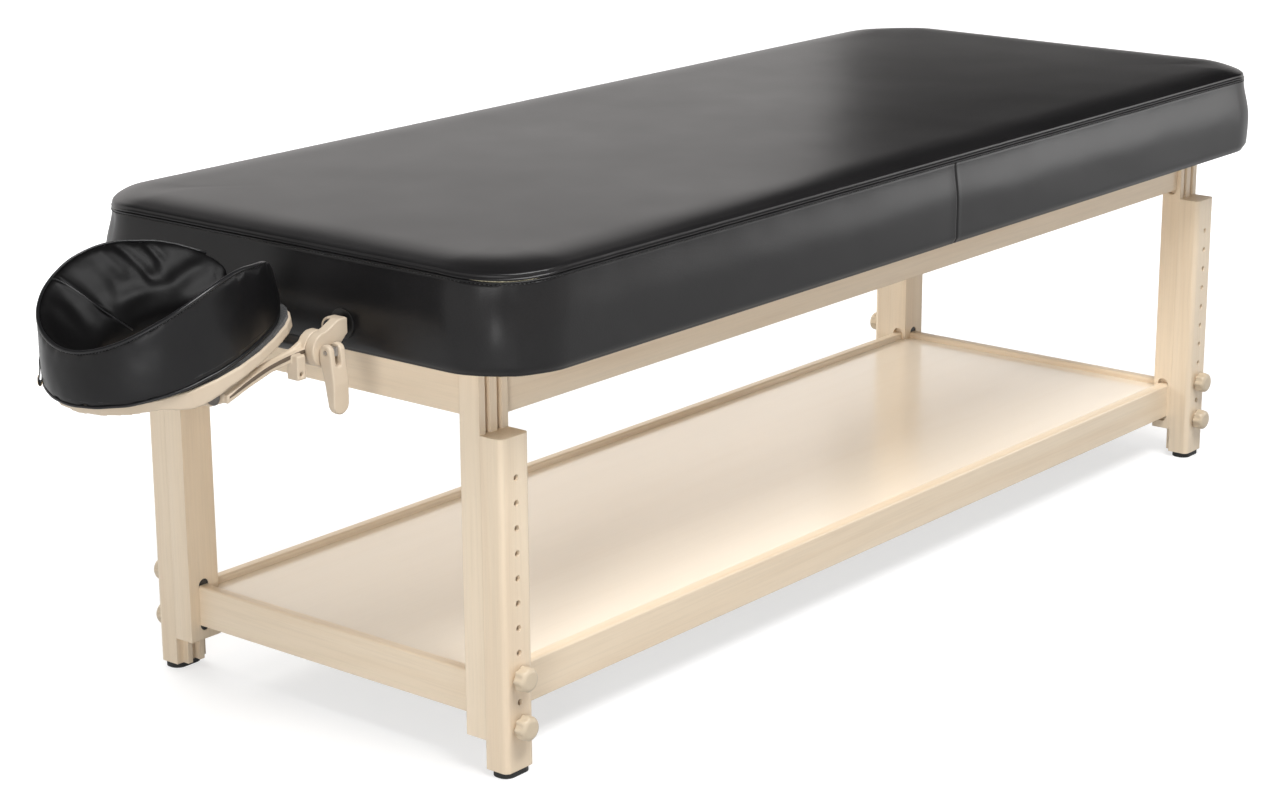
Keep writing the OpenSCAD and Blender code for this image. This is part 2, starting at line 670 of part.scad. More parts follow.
// Cam lever on the near side, hanging from its pin
lever_gap = 0.2;
lever_r = pin_out - run_gap - lever_gap;
lever_tip_r = lever_w / 2;
fork_l = 26;
module cam_lever() placed() color(cream) translate([hinge_x, -pin_y, hinge_z]) difference() {
    union() {
        translate([-lever_w / 2, 0, 0]) rotate([0, 90, 0]) cylinder(r = lever_r, h = lever_w);
        intersection() {
            // side profile: thick at the pin, leaning out to a thin tip
            translate([-lever_w / 2, 0, 0]) rotate([90, 0, 90]) linear_extrude(lever_w) polygon([
                [lever_r, 0], [-lever_r, 0],
                [-lever_r - lever_lean * half_share, -lever_l * half_share],
                [-lever_lean - lever_tip_t * half_share, -lever_l],
                [-lever_lean + lever_tip_t * half_share, -lever_l],
                [lever_r - lever_t * half_share, -lever_l * half_share],
                [lever_r, -lever_r]]);
            // front profile with a round tip
            rotate([90, 0, 0]) translate([0, 0, -lever_l]) linear_extrude(2 * lever_l) {
                translate([-lever_w / 2, -lever_l + lever_tip_r]) square([lever_w, lever_l]);
                translate([0, -lever_l + lever_tip_r]) circle(lever_tip_r);
            }
        }
    }
    translate([-fork_w / 2, -lever_l, -fork_l + lever_r]) cube([fork_w, 2 * lever_l, fork_l + over]);
    translate([-lever_w / 2 - over, 0, 0]) rotate([0, 90, 0])
        cylinder(d = pin_d + 2 * stud_fit, h = lever_w + 2 * over);
}

// Cradle arms

// Outline of the arm from its pivot end: places along the run and heights, as
// shares of the run and of the fall
arm_x_shares = [0.1, 0.32, 0.54, 0.8, 0.93];
arm_low_shares = [-0.36, 0.1, 0.48, 0.72, 0.78];
arm_top_shares = [0.2, 0.58, 0.86, 1.18, 1.52];
function arm_points(lo, hi, up = 0) = concat(
    [for (i = [0 : len(lo) - 1]) [arm_run * arm_x_shares[i], arm_fall * lo[i]]],
    [for (i = [len(hi) - 1 : -1 : 0])
        [arm_run * arm_x_shares[i], up > 0 ? arm_fall * lo[i] + up : arm_fall * hi[i]]]);

lug_s = 14;
lug_l = 18;
lug_in = 30;
lug_hole_d = 6;
module arm(s) translate([pivot_x, 0, pivot_z]) difference() {
    union() {
        translate([arm_run, 0, arm_fall]) side_plate(s, arm_y, arm_t) circle(knuckle_r);
        side_plate(s, arm_y, web_t) {
            circle(arm_end_r);
            polygon(concat([[0, arm_end_r], [0, -arm_end_r]], arm_points(arm_low_shares, arm_top_shares)));
        }
        side_plate(s, arm_y, arm_t) polygon(arm_points(arm_low_shares, arm_low_shares, lip_h));
        // lug with a cross hole under the root of the arm
        mirror([0, s < 0 ? 1 : 0, 0]) translate([arm_run - lug_in - lug_s, arm_y + web_t, arm_fall - lug_in])
            cube([lug_s, lug_l, lug_in]);
    }
    translate([arm_run, 0, arm_fall]) y_bar(s, arm_y - over, bolt_d + 2 * stud_fit, arm_t + 2 * over);
    y_bar(s, arm_y - over, bolt_d + 2 * stud_fit, arm_t + 2 * over);
    translate([arm_run - lug_in - lug_s / 2, 0, arm_fall - lug_in + lug_s / 2])
        y_bar(s, arm_y + web_t - over, lug_hole_d, lug_l + 2 * over);
}

module cradle_arm_near() placed() color(cream) arm(-1);
module cradle_arm_far() placed() color(cream) arm(1);

module cradle_tube() placed() color("#1c1c1c") translate([hinge_x, -arm_y, hinge_z]) rotate([-90, 0, 0])
    difference() {
        cylinder(r = tube_r, h = 2 * arm_y);
        translate([0, 0, -over]) cylinder(r = nut_r + run_gap, h = 2 * arm_y + 2 * over);
    }

ear_t = 6;
head_t = 4;
module pivot_bolts() placed() color("#4a4642") for (s = [-1, 1]) translate([pivot_x, 0, pivot_z]) {
    y_bar(s, arm_y - run_gap - ear_t, bolt_d, run_gap + ear_t + web_t);
    y_bar(s, arm_y + web_t, 2 * bolt_d, head_t);
    y_bar(s, arm_y - run_gap - ear_t - head_t, 2 * bolt_d, head_t);
}

// Platform

// The platform and the cushion follow one egg-shaped midline, open to +X.
// Angle 0 is the crown, +/- tip_angle are the tips.
tip_round_angle = 28;
function egg_at(a) = [egg_out - egg_l / 2 * cos(a), egg_half * sin(a) * (1 + egg_share * cos(a))];
function egg_out_dir(a) = let (
    dx = egg_l / 2 * sin(a),
    dy = egg_half * (cos(a) * (1 + egg_share * cos(a)) - egg_share * pow(sin(a), 2)),
    l = norm([dx, dy])) [-dy / l, dx / l];
// Band width factor: full along the egg, round at the tips
function tip_f(a) = let (t = (abs(a) - tip_angle + tip_round_angle) / tip_round_angle) t <= 0 ? 1 : sqrt(max(0, 1 - t * t));
// Angles of the stations, closer together at the tips
bend_steps = 18;
tip_steps = 5;
function egg_angles() = concat(
    [for (i = [0 : tip_steps - 1]) -tip_angle + tip_round_angle * (1 - cos(90 * i / tip_steps))],
    [for (i = [0 : bend_steps]) (tip_angle - tip_round_angle) * (2 * i / bend_steps - 1)],
    [for (i = [tip_steps - 1 : -1 : 0]) tip_angle - tip_round_angle * (1 - cos(90 * i / tip_steps))]);
// Points beside the midline, w to the outside
function egg_side(w) = [for (a = egg_angles()) egg_at(a) + egg_out_dir(a) * w * tip_f(a)];
function reversed(v) = [for (i = [len(v) - 1 : -1 : 0]) v[i]];
function inner_part(v) = [for (i = [1 : len(v) - 2]) v[i]];

module egg_band(w) polygon(concat(egg_side(w), reversed(inner_part(egg_side(-w)))));

module tilted() translate([pivot_x, 0, pivot_z]) rotate([0, -plat_tilt, 0]) children();

// Lower edge of the rim: places as shares of the egg's length from its crown
// end, depths as shares of the lobe
rim_x_shares = [1.3, 0.62, 0.46, 0.33, 0.26, 0.2, 0.14, 0.09, 0.04, -0.3];
rim_deep_shares = [0, 0, 0.18, 0.42, 0.76, 1, 0.86, 0.5, 0, 0];
plat_x = egg_out - egg_l / 2;

module rim_profile() polygon(concat(
    [for (x = [rim_x_shares[0], rim_x_shares[len(rim_x_shares) - 1]]) [plat_x + egg_l * x, plat_lift + plat_t]],
    [for (i = [len(rim_x_shares) - 1 : -1 : 0])
        [plat_x + egg_l * rim_x_shares[i], plat_lift + plat_t - rim_d - (lobe_d - rim_d) * rim_deep_shares[i]]]));

module cradle_platform() placed() color(cream) tilted() difference() {
    union() {
        translate([plat_shift, 0, plat_lift]) linear_extrude(plat_t) egg_band(plat_w);
        // outer rim, deeper beside the pivots
        translate([plat_shift, 0, 0]) intersection() {
            translate([0, 0, plat_lift + plat_t - lobe_d]) linear_extrude(lobe_d)
                polygon(concat(egg_side(plat_w), reversed(inner_part(egg_side(plat_w - rim_t)))));
            rotate([90, 0, 0]) translate([0, 0, -egg_l]) linear_extrude(2 * egg_l) rim_profile();
        }
        // ears on the pivots
        for (s = [-1, 1]) side_plate(s, arm_y - run_gap - ear_t, ear_t) {
            circle(arm_end_r);
            polygon([[-arm_end_r, 0], [arm_end_r, 0], [2 * arm_end_r, plat_lift], [-2 * arm_end_r, plat_lift]]);
        }
    }
    for (s = [-1, 1]) y_bar(s, arm_y - run_gap - ear_t - over, bolt_d + 2 * stud_fit, ear_t + 2 * over);
}

module hook_pad() placed() color("#111111") tilted()
    translate([plat_shift, 0, plat_lift + plat_t]) linear_extrude(hook_t) egg_band(plat_w - hook_inset);

// Face cushion
// Section, from the outer hem over the rim to the inner hem: sideways as shares
// of the half width, heights as shares of the height there
cush_side_shares = [0.86, 0.96, 1, 0.99, 0.95, 0.88, 0.74, 0.5, 0.18, -0.18, -0.52, -0.8, -0.96, -0.98, -0.84];
cush_rise_shares = [0, 0.1, 0.32, 0.6, 0.86, 1, 0.99, 0.88, 0.72, 0.56, 0.44, 0.34, 0.22, 0.09, 0];
tip_low_share = 0.4;

// Rise of the rim from the crown to the sides and down to the tips
function cush_h(a) = cos(a) > 0 ? cush_crown_h + (cush_side_h - cush_crown_h) * pow(sin(a), 2)
    : cush_side_h + (cush_tip_h - cush_side_h) * pow(-cos(a), 1.5);

function cush_section(a) = let (f = tip_f(a), c = egg_at(a), n = egg_out_dir(a), up = cush_h(a))
    [for (j = [0 : len(cush_side_shares) - 1]) let (
        lean = crown_lean * cush_rise_shares[j] * pow(max(0, cos(a)), 2),
        p = c + n * (cush_w * cush_side_shares[j] * f - lean),
        rise = cush_rise_shares[j] == 0 ? 0 : up * (tip_low_share * (1 - f) + cush_rise_shares[j] * f))
        [p[0], p[1], cush_z + rise]];

// The tips close on a short upright edge
function cush_angles() = let (v = egg_angles(), e = tip_round_angle / 40)
    concat([v[0] + e], inner_part(v), [v[len(v) - 1] - e]);

module face_cushion() placed() color(vinyl) tilted() {
    sections = [for (a = cush_angles()) cush_section(a)];
    polyhedron([for (s = sections) each s], loft_faces(len(sections), len(cush_side_shares)));
}

// Tab on the crown's far side, hanging from the hem
tab_gap = 0.3;
tab_seat_share = 0.24;
tab_rise = 24;
module pull_tab() placed() color(vinyl) tilted() {
    c = egg_at(tab_angle);
    n = egg_out_dir(tab_angle);
    translate([c[0], c[1], cush_z + tab_rise - tab_l]) rotate([0, 0, atan2(n[1], n[0])])
        translate([cush_w - crown_lean * tab_seat_share + tab_gap, -tab_w / 2, 0])
            cube([tab_t, tab_w, tab_l]);
}

top_cover();
foam_core();
deck_board();
base_panel();
frame_side_near();
frame_side_far();
frame_end_head();
frame_end_foot();
cross_braces();
socket_rings();
post_head_near();
post_head_far();
post_foot_near();
post_foot_far();
extension_head_near();
extension_head_far();
extension_foot_near();
extension_foot_far();
foot_head_near();
foot_head_far();
foot_foot_near();
foot_foot_far();
knob_head_near_low();
knob_head_near_high();
knob_head_far_low();
knob_head_far_high();
knob_foot_near_low();
knob_foot_near_high();
knob_foot_far_low();
knob_foot_far_high();
threaded_inserts();
dowels();
apron_near();
apron_far();
apron_head();
apron_foot();
corner_blocks();
shelf_rail_near();
shelf_rail_far();
shelf_rail_head();
shelf_rail_foot();
shelf_cleats();
shelf_panel();
cradle_rod_near();
cradle_rod_far();
cradle_bracket_near();
cradle_bracket_far();
hinge_bolt_near();
hinge_bolt_far();
lever_pin();
cam_lever();
cradle_arm_near();
cradle_arm_far();
cradle_tube();
pivot_bolts();
cradle_platform();
hook_pad();
face_cushion();
pull_tab();
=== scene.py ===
# Looks of a stationary massage table with a face cradle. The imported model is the
# frame, and every piece made here rides on one of its bodies. Metres, +Z up, floor
# at zero, the head end towards -X.
import math
import bpy
import bmesh
from mathutils import Matrix, Vector, noise
from mathutils.bvhtree import BVHTree


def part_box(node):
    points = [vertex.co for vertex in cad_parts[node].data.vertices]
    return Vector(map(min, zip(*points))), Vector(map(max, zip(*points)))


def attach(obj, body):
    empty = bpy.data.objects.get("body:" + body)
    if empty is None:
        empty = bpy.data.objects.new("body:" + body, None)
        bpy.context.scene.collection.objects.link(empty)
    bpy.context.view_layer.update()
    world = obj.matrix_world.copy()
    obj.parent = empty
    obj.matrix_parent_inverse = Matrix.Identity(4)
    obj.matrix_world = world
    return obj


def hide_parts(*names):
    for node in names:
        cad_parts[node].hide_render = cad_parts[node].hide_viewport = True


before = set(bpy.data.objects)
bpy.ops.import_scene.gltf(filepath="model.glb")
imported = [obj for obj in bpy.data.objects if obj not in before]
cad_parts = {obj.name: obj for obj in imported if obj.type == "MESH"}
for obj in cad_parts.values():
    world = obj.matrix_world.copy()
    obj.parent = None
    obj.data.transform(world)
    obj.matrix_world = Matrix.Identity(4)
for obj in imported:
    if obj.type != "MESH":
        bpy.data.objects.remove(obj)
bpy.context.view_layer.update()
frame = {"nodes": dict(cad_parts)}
nodes = frame["nodes"]

# ---------------------------------------------------------------- places
apron_lo, apron_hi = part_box("apron_near")
OX = (apron_lo[0] + apron_hi[0]) / 2               # x of the table's centre
TOP_L, TOP_W, CORNER = 1.854, 0.762, 0.106         # length, width, plan radius of the top
BASE_Z, SEAM_Z = 0.526, 0.643                      # heights of its lower edge and its seam
PIVOT = Vector((OX - 1.138, 0, 0.513))             # where the cradle's platform tilts
TILT = math.radians(13)                            # the platform's tilt at rest


def clamp(v, a=0.0, b=1.0):
    return max(a, min(b, v))


def smooth(a, b, v):
    t = clamp((v - a) / (b - a))
    return t * t * (3 - 2 * t)


def wave(p, scale, seed):
    return noise.noise(Vector((p[0] * scale + seed, p[1] * scale - seed,
                               p[2] * scale + 2 * seed)))


def ripple(p, waves):
    """Sum of waves, each given as (scale, seed, share of the height z, amplitude)."""
    return sum(wave((p[0], p[1], p[2] * tall), scale, seed) * high
               for scale, seed, tall, high in waves)


# ---------------------------------------------------------------- materials
def new_material(name):
    m = bpy.data.materials.new(name)
    m.use_nodes = True
    nt = m.node_tree
    nt.nodes.clear()
    out = nt.nodes.new("ShaderNodeOutputMaterial")
    bsdf = nt.nodes.new("ShaderNodeBsdfPrincipled")
    nt.links.new(bsdf.outputs[0], out.inputs[0])
    return m, nt, bsdf


def node(nt, kind, **props):
    n = nt.nodes.new(kind)
    for k, v in props.items():
        if k in n.inputs:
            n.inputs[k].default_value = v
        else:
            setattr(n, k, v)
    return n


def place(nt, scale=(1, 1, 1), offset=(0, 0, 0)):
    """Texture space of the object, scaled and shifted."""
    co = nt.nodes.new("ShaderNodeTexCoord")
    mp = nt.nodes.new("ShaderNodeMapping")
    mp.inputs["Scale"].default_value = scale
    mp.inputs["Location"].default_value = offset
    nt.links.new(co.outputs["Object"], mp.inputs[0])
    return mp


def texture(nt, where, kind, **props):
    """A texture in the space of a mapping node."""
    n = node(nt, "ShaderNodeTex" + kind, **props)
    nt.links.new(where.outputs[0], n.inputs["Vector"])
    return n


def along(axis, across, lengthwise):
    """Scale of a texture whose features run along one axis."""
    scale = [across] * 3
    scale["XYZ".index(axis)] = lengthwise
    return scale


def scaled(colour, *shares):
    """The colour times one share, or times a share for each channel."""
    if len(shares) == 1:
        shares = shares * 3
    return tuple(c * k for c, k in zip(colour, shares))


def grey(value):
    return (value,) * 3


def ramp(nt, source, *stops):
    """Colours over the values of a source, each stop given as (value, colour)."""
    r = nt.nodes.new("ShaderNodeValToRGB")
    e = r.color_ramp.elements
    while len(e) < len(stops):
        e.new(0.5)
    for i, (at, c) in enumerate(stops):
        e[i].position = at
        e[i].color = (*c, 1)
    nt.links.new(source, r.inputs[0])
    return r.outputs[0]


def vary(nt, source, low, high, target):
    """Link a noise into an input, as colours from low to high."""
    nt.links.new(ramp(nt, source, (0.3, low), (0.7, high)), target)


def mix(nt, fac, a, b, kind="MIX"):
    """Blend of two colours or sockets."""
    n = nt.nodes.new("ShaderNodeMix")
    n.data_type = "RGBA"
    n.blend_type = kind
    n.inputs[0].default_value = fac
    for i, v in ((6, a), (7, b)):
        if isinstance(v, tuple):
            n.inputs[i].default_value = (*v, 1)
        else:
            nt.links.new(v, n.inputs[i])
    return n.outputs[2]


def bump(nt, height, strength, distance, base=None):
    b = nt.nodes.new("ShaderNodeBump")
    b.inputs["Strength"].default_value = strength
    b.inputs["Distance"].default_value = distance
    nt.links.new(height, b.inputs["Height"])
    if base is not None:
        nt.links.new(base, b.inputs["Normal"])
    return b.outputs[0]


def soft_edge(nt, radius):
    b = nt.nodes.new("ShaderNodeBevel")
    b.samples = 4
    b.inputs["Radius"].default_value = radius
    return b.outputs[0]


WHITE = (1, 1, 1)
MAPLE = ((0.800, 0.672, 0.512), (0.755, 0.615, 0.450), (0.665, 0.505, 0.345))
# paler than the maple: painted light for the brightly lit shelf under the table
SHELF_LIT_TONES = ((0.93, 0.835, 0.70), (0.92, 0.82, 0.68), (0.90, 0.79, 0.645))
FIGURE_AT = (0.62, 0.46, 0.30)           # values of the figure's light, middle and dark tones
PORE, FLECK = (0.72, 0.66, 0.58), (0.40, 0.26, 0.15)
WOOD_EDGE = 0.0012                       # radius that softens the wood's arrises


def wood(name, axis, seed, tones=MAPLE, flecks=False, rough=0.36, lacquer=0.25, plain=1.0):
    """Lacquered maple whose grain runs along one axis. A low plain means a faint grain."""
    m, nt, bsdf = new_material(name)
    off = (seed * 3.7, seed * 1.9, seed * 5.3)

    def grain(kind, across, lengthwise, shift=off, **props):
        return texture(nt, place(nt, along(axis, across, lengthwise), shift), kind, **props)

    broad = grain("Noise", 16.0, 0.9, Scale=1.0, Detail=4.0, Roughness=0.55, Distortion=1.2)
    figure = ramp(nt, broad.outputs[0], *list(zip(FIGURE_AT, tones))[::-1])
    fine = grain("Noise", 260.0, 7.0, Scale=1.0, Detail=5.0, Roughness=0.65)
    lines = ramp(nt, fine.outputs[0], (0.36, grey(0.62)), (0.55, WHITE))
    colour = mix(nt, 0.13 * plain, mix(nt, 0.50, figure, tones[0]), lines, "MULTIPLY")
    rays = grain("Voronoi", 700.0, 90.0, Scale=1.0, Randomness=1.0)
    pores = ramp(nt, rays.outputs["Distance"], (0.05, PORE), (0.17, WHITE))
    colour = mix(nt, 0.22 * plain, colour, pores, "MULTIPLY")
    if flecks:
        cells = grain("Voronoi", 120.0, 9.0, (off[0] + 7, off[1], off[2]),
                      Scale=0.45, Randomness=1.0)
        spots = ramp(nt, cells.outputs["Distance"], (0.03, FLECK), (0.10, WHITE))
        colour = mix(nt, 0.55, colour, spots, "MULTIPLY")
    nt.links.new(colour, bsdf.inputs["Base Color"])
    vary(nt, fine.outputs[0], grey(rough + 0.10), grey(rough), bsdf.inputs["Roughness"])
    bsdf.inputs["Coat Weight"].default_value = lacquer
    bsdf.inputs["Coat Roughness"].default_value = 0.18
    nt.links.new(bump(nt, fine.outputs[0], 0.06, 0.0004, soft_edge(nt, WOOD_EDGE)),
                 bsdf.inputs["Normal"])
    return m


def leather(name, colour, grain, rough, depth, shine):
    """Black vinyl: pebbled grain with painted shade in its crevices, soft gloss, slight change of
    sheen.
    """
    m, nt, bsdf = new_material(name)
    co = place(nt)
    v = texture(nt, co, "Voronoi", feature="SMOOTH_F1", Smoothness=0.5, Scale=grain,
                Randomness=1.0)
    n = texture(nt, co, "Noise", Scale=9.0, Detail=3.0, Roughness=0.5)
    fine = texture(nt, co, "Noise", Scale=1800.0, Detail=2.0, Roughness=0.6)
    tone = ramp(nt, n.outputs[0], (0.3, scaled(colour, 0.86)), (0.7, scaled(colour, 1.2)))
    # crevices of the grain darkened: painted shade
    crevice_shade = ramp(nt, v.outputs["Distance"], (0.15, WHITE), (0.75, grey(0.72)))
    nt.links.new(mix(nt, 0.6, tone, crevice_shade, "MULTIPLY"), bsdf.inputs["Base Color"])
    vary(nt, n.outputs[0], grey(rough - 0.012), grey(rough + 0.012), bsdf.inputs["Roughness"])
    bsdf.inputs["Specular IOR Level"].default_value = shine
    first = bump(nt, v.outputs["Distance"], depth, 0.00025)
    nt.links.new(bump(nt, fine.outputs[0], 0.05, 0.0001, first), bsdf.inputs["Normal"])
    return m


def moulded(name, colour, rough, grain=1400.0, edge=0.0015, depth=0.08):
    """Injection-moulded plastic with a fine spark-eroded texture."""
    m, nt, bsdf = new_material(name)
    co = place(nt)
    n = texture(nt, co, "Noise", Scale=grain, Detail=2.0, Roughness=0.5)
    w = texture(nt, co, "Noise", Scale=22.0, Detail=2.0, Roughness=0.5)
    vary(nt, w.outputs[0], scaled(colour, 0.96, 0.955, 0.945), scaled(colour, 1.02),
         bsdf.inputs["Base Color"])
    vary(nt, w.outputs[0], grey(rough + 0.03), grey(rough - 0.03), bsdf.inputs["Roughness"])
    nt.links.new(bump(nt, n.outputs[0], depth, 0.0002, soft_edge(nt, edge)), bsdf.inputs["Normal"])
    return m


def metal(name, colour, rough, metallic=1.0):
    """Steel or brass with fine scratches. With metallic at zero it is enamelled."""
    m, nt, bsdf = new_material(name)
    n = texture(nt, place(nt, (300, 300, 300)), "Noise", Scale=1.0, Detail=4.0, Roughness=0.6)
    vary(nt, n.outputs[0], scaled(colour, 0.88), scaled(colour, 1.05), bsdf.inputs["Base Color"])
    vary(nt, n.outputs[0], grey(rough + 0.08), grey(rough - 0.04), bsdf.inputs["Roughness"])
    bsdf.inputs["Metallic"].default_value = metallic
    nt.links.new(bump(nt, n.outputs[0], 0.06, 0.0002, soft_edge(nt, 0.0006)),
                 bsdf.inputs["Normal"])
    return m


def fabric(name, colour, pitch=0.0011):
    """Matt textile or foam, with cells of the given pitch."""
    m, nt, bsdf = new_material(name)
    n = texture(nt, place(nt, (1 / pitch,) * 3), "Voronoi", Scale=1.0, Randomness=0.8)
    nt.links.new(ramp(nt, n.outputs["Distance"], (0.1, scaled(colour, 1.5)),
                      (0.6, scaled(colour, 0.5))), bsdf.inputs["Base Color"])
    bsdf.inputs["Roughness"].default_value = 0.9
    bsdf.inputs["Sheen Weight"].default_value = 0.3
    nt.links.new(bump(nt, n.outputs["Distance"], 0.8, 0.0006), bsdf.inputs["Normal"])
    return m


# name, colour, grain (cells a metre), roughness, depth of the grain, specular level
vinyl = leather("vinyl_top", (0.0108, 0.0103, 0.0108), 620.0, 0.30, 0.24, 0.28)
vinyl_cradle = leather("vinyl_cradle", (0.0062, 0.0060, 0.0066), 900.0, 0.34, 0.14, 0.30)
# darker copy of the cradle's vinyl: painted shade for the inside of the hollow
vinyl_inner_shaded = leather("vinyl_cradle_inner_shaded", (0.0048, 0.0046, 0.0048), 900.0, 0.40, 0.16, 0.10)
piping_vinyl = leather("vinyl_piping", (0.011, 0.011, 0.012), 1200.0, 0.30, 0.10, 0.4)
thread = fabric("stitch_thread", (0.0035, 0.0035, 0.004), 0.0004)
cream = moulded("cream_plastic", (0.600, 0.497, 0.380), 0.40)
cream_knob = moulded("cream_knob", (0.60, 0.50, 0.37), 0.38, edge=0.0012)
rubber = moulded("rubber_black", grey(0.016), 0.62, grain=900.0, edge=0.002, depth=0.2)
black_plastic = moulded("black_plastic", grey(0.012), 0.35, grain=1500.0, edge=0.001)
black_steel = metal("black_steel", (0.02, 0.02, 0.021), 0.30, 0.0)
zinc = metal("zinc_steel", (0.56, 0.56, 0.57), 0.32)
dark_steel = metal("dark_steel", (0.16, 0.15, 0.14), 0.34)
brass = metal("brass_edge", (0.62, 0.44, 0.20), 0.30)
webbing = fabric("webbing", (0.010, 0.010, 0.011), 0.0014)
# painted shade: the dark brown of the strips along the arms' lips
painted_shade_brown = moulded("painted_shade_brown", (0.120, 0.088, 0.062), 0.55)
hook = fabric("hook_tape", grey(0.012))
foam_mat = fabric("foam", (0.55, 0.50, 0.34), 0.002)


def coat(name, material):
    o = nodes[name]
    o.data.materials.clear()
    o.data.materials.append(material)


for seed, n in enumerate(nodes, 2):
    if n.startswith(("post_", "extension_")):
        coat(n, wood("maple_" + n, "Z", seed))
    elif n.startswith(("apron_near", "apron_far", "shelf_rail_near", "shelf_rail_far",
                       "shelf_cleats", "frame_side")):
        coat(n, wood("maple_" + n, "X", seed))
    elif n.startswith(("apron_", "shelf_rail_", "frame_end", "cross_braces")):
        coat(n, wood("maple_" + n, "Y", seed, flecks=n == "shelf_rail_head"))
    elif n == "shelf_panel":
        # the shelf's paler colour is painted light
        coat(n, wood("maple_shelf", "X", seed, SHELF_LIT_TONES, rough=0.17, lacquer=0.8, plain=0.4))
    elif n in ("deck_board", "base_panel"):
        coat(n, wood("plywood_" + n, "X", seed))
    elif n in ("dowels", "corner_blocks"):
        coat(n, wood("maple_" + n, "Z", seed))
    elif n.startswith("foot_"):
        coat(n, rubber)
    elif n.startswith("knob_"):
        coat(n, cream_knob)
    elif n in ("threaded_inserts", "hinge_bolt_near", "hinge_bolt_far", "lever_pin"):
        coat(n, zinc)
    elif n == "pivot_bolts":
        coat(n, dark_steel)
    elif n == "socket_rings":
        coat(n, black_plastic)
    elif n in ("cradle_rod_near", "cradle_rod_far", "cradle_tube"):
        coat(n, black_steel)
    elif n.startswith(("cradle_", "cam_lever")):
        coat(n, cream)
    elif n == "hook_pad":
        coat(n, hook)
    elif n == "foam_core":
        coat(n, foam_mat)
    else:
        coat(n, vinyl)


def cast(name, voxel, passes):
    """Round every edge of a moulded part with a fine remesh and a little smoothing."""
    r = nodes[name].modifiers.new("fillet", "REMESH")
    r.mode = "VOXEL"
    r.voxel_size = voxel
    r.use_smooth_shade = True
    s = nodes[name].modifiers.new("soft", "SMOOTH")
    s.factor = 0.5
    s.iterations = passes


def break_arris(name, width):
    """Bevel the sharp edges of a sawn or trimmed piece."""
    b = nodes[name].modifiers.new("arris", "BEVEL")
    b.width = width
    b.segments = 3
    b.limit_method = "ANGLE"
    b.angle_limit = math.radians(60)
    b.use_clamp_overlap = True


LEG_ARRIS, RAIL_ARRIS = 0.0028, 0.0009
for n in nodes:
    if n.startswith("knob_"):
        cast(n, 0.0009, 5)
    elif n.startswith(("cradle_bracket", "cradle_arm", "cam_lever")):
        cast(n, 0.0011, 7)
    elif n == "cradle_platform":
        cast(n, 0.0015, 6)
    elif n.startswith(("post_", "extension_", "foot_")):
        break_arris(n, LEG_ARRIS)
    elif n.startswith(("apron_", "shelf_rail_")):
        break_arris(n, RAIL_ARRIS)


# ---------------------------------------------------------------- mesh helpers
def mesh_object(name, verts, faces, material, smoothed=True):
    me = bpy.data.meshes.new(name)
    me.from_pydata([tuple(v) for v in verts], [], faces)
    me.validate()
    me.update()
    o = bpy.data.objects.new(name, me)
    bpy.context.scene.collection.objects.link(o)
    me.materials.append(material)
    for p in me.polygons:
        p.use_smooth = smoothed
    return o


def grid_faces(rows, cols):
    """Quads between rows of points, each row closed to a ring."""
    return [(i * cols + j, i * cols + (j + 1) % cols,
             (i + 1) * cols + (j + 1) % cols, (i + 1) * cols + j)
            for i in range(rows - 1) for j in range(cols)]


def recalc(o):
    bm = bmesh.new()
    bm.from_mesh(o.data)
    bmesh.ops.recalc_face_normals(bm, faces=bm.faces)
    bm.to_mesh(o.data)
    bm.free()


def tube(name, pts, radius, material, normals, sides, squash_to):
    """An oval cord along points, its flat side square to the normals."""
    n = len(pts)
    verts = []
    for i, p in enumerate(pts):
        t = (Vector(pts[min(i + 1, n - 1)]) - Vector(pts[max(i - 1, 0)])).normalized()
        up = Vector(normals[i])
        up = (up - t * up.dot(t)).normalized()
        side = t.cross(up)
        for k in range(sides):
            w = 2 * math.pi * k / sides
            verts.append(Vector(p) + side * (radius * math.cos(w))
                         + up * (radius * squash_to * math.sin(w)))
    faces = grid_faces(n, sides)
    faces.append(tuple(range(sides))[::-1])
    faces.append(tuple((n - 1) * sides + k for k in range(sides)))
    return mesh_object(name, verts, faces, material)


def stitches(name, pts, normals, material, pitch, length, width, closed=False):
    """Small spindles laid end to end along a path, a row of sewing."""
    path = [Vector(p) for p in pts]
    ns = [Vector(v) for v in normals]
    if closed:
        path.append(path[0])
        ns.append(ns[0])
    run = [0.0]
    for a, b in zip(path, path[1:]):
        run.append(run[-1] + (b - a).length)
    count = int(run[-1] / pitch)
    verts, faces = [], []

    def at(s, seg):
        while seg < len(run) - 2 and run[seg + 1] < s:
            seg += 1
        w = clamp((s - run[seg]) / max(1e-9, run[seg + 1] - run[seg]))
        return path[seg].lerp(path[seg + 1], w), ns[seg].lerp(ns[seg + 1], w), seg

    seg = 0
    for i in range(count):
        s0 = i * pitch + pitch / 2 - length / 2      # where the stitch starts
        p0, n0, seg = at(s0, seg)
        p1, n1, _ = at(s0 + length, seg)
        t = p1 - p0
        if t.length < 1e-6:
            continue
        t.normalize()
        up = (n0 + n1).normalized()
        side = t.cross(up).normalized()
        k = len(verts)
        mid = (p0 + p1) / 2 + up * width * 0.7
        verts += [p0 - up * width * 0.6, p1 - up * width * 0.6, mid + side * width,
                  mid + up * width * 0.6, mid - side * width, mid - up * width]
        for a, b in ((2, 3), (3, 4), (4, 5), (5, 2)):
            faces += [(k, k + b, k + a), (k + 1, k + a, k + b)]
    return mesh_object(name, verts, faces, material)


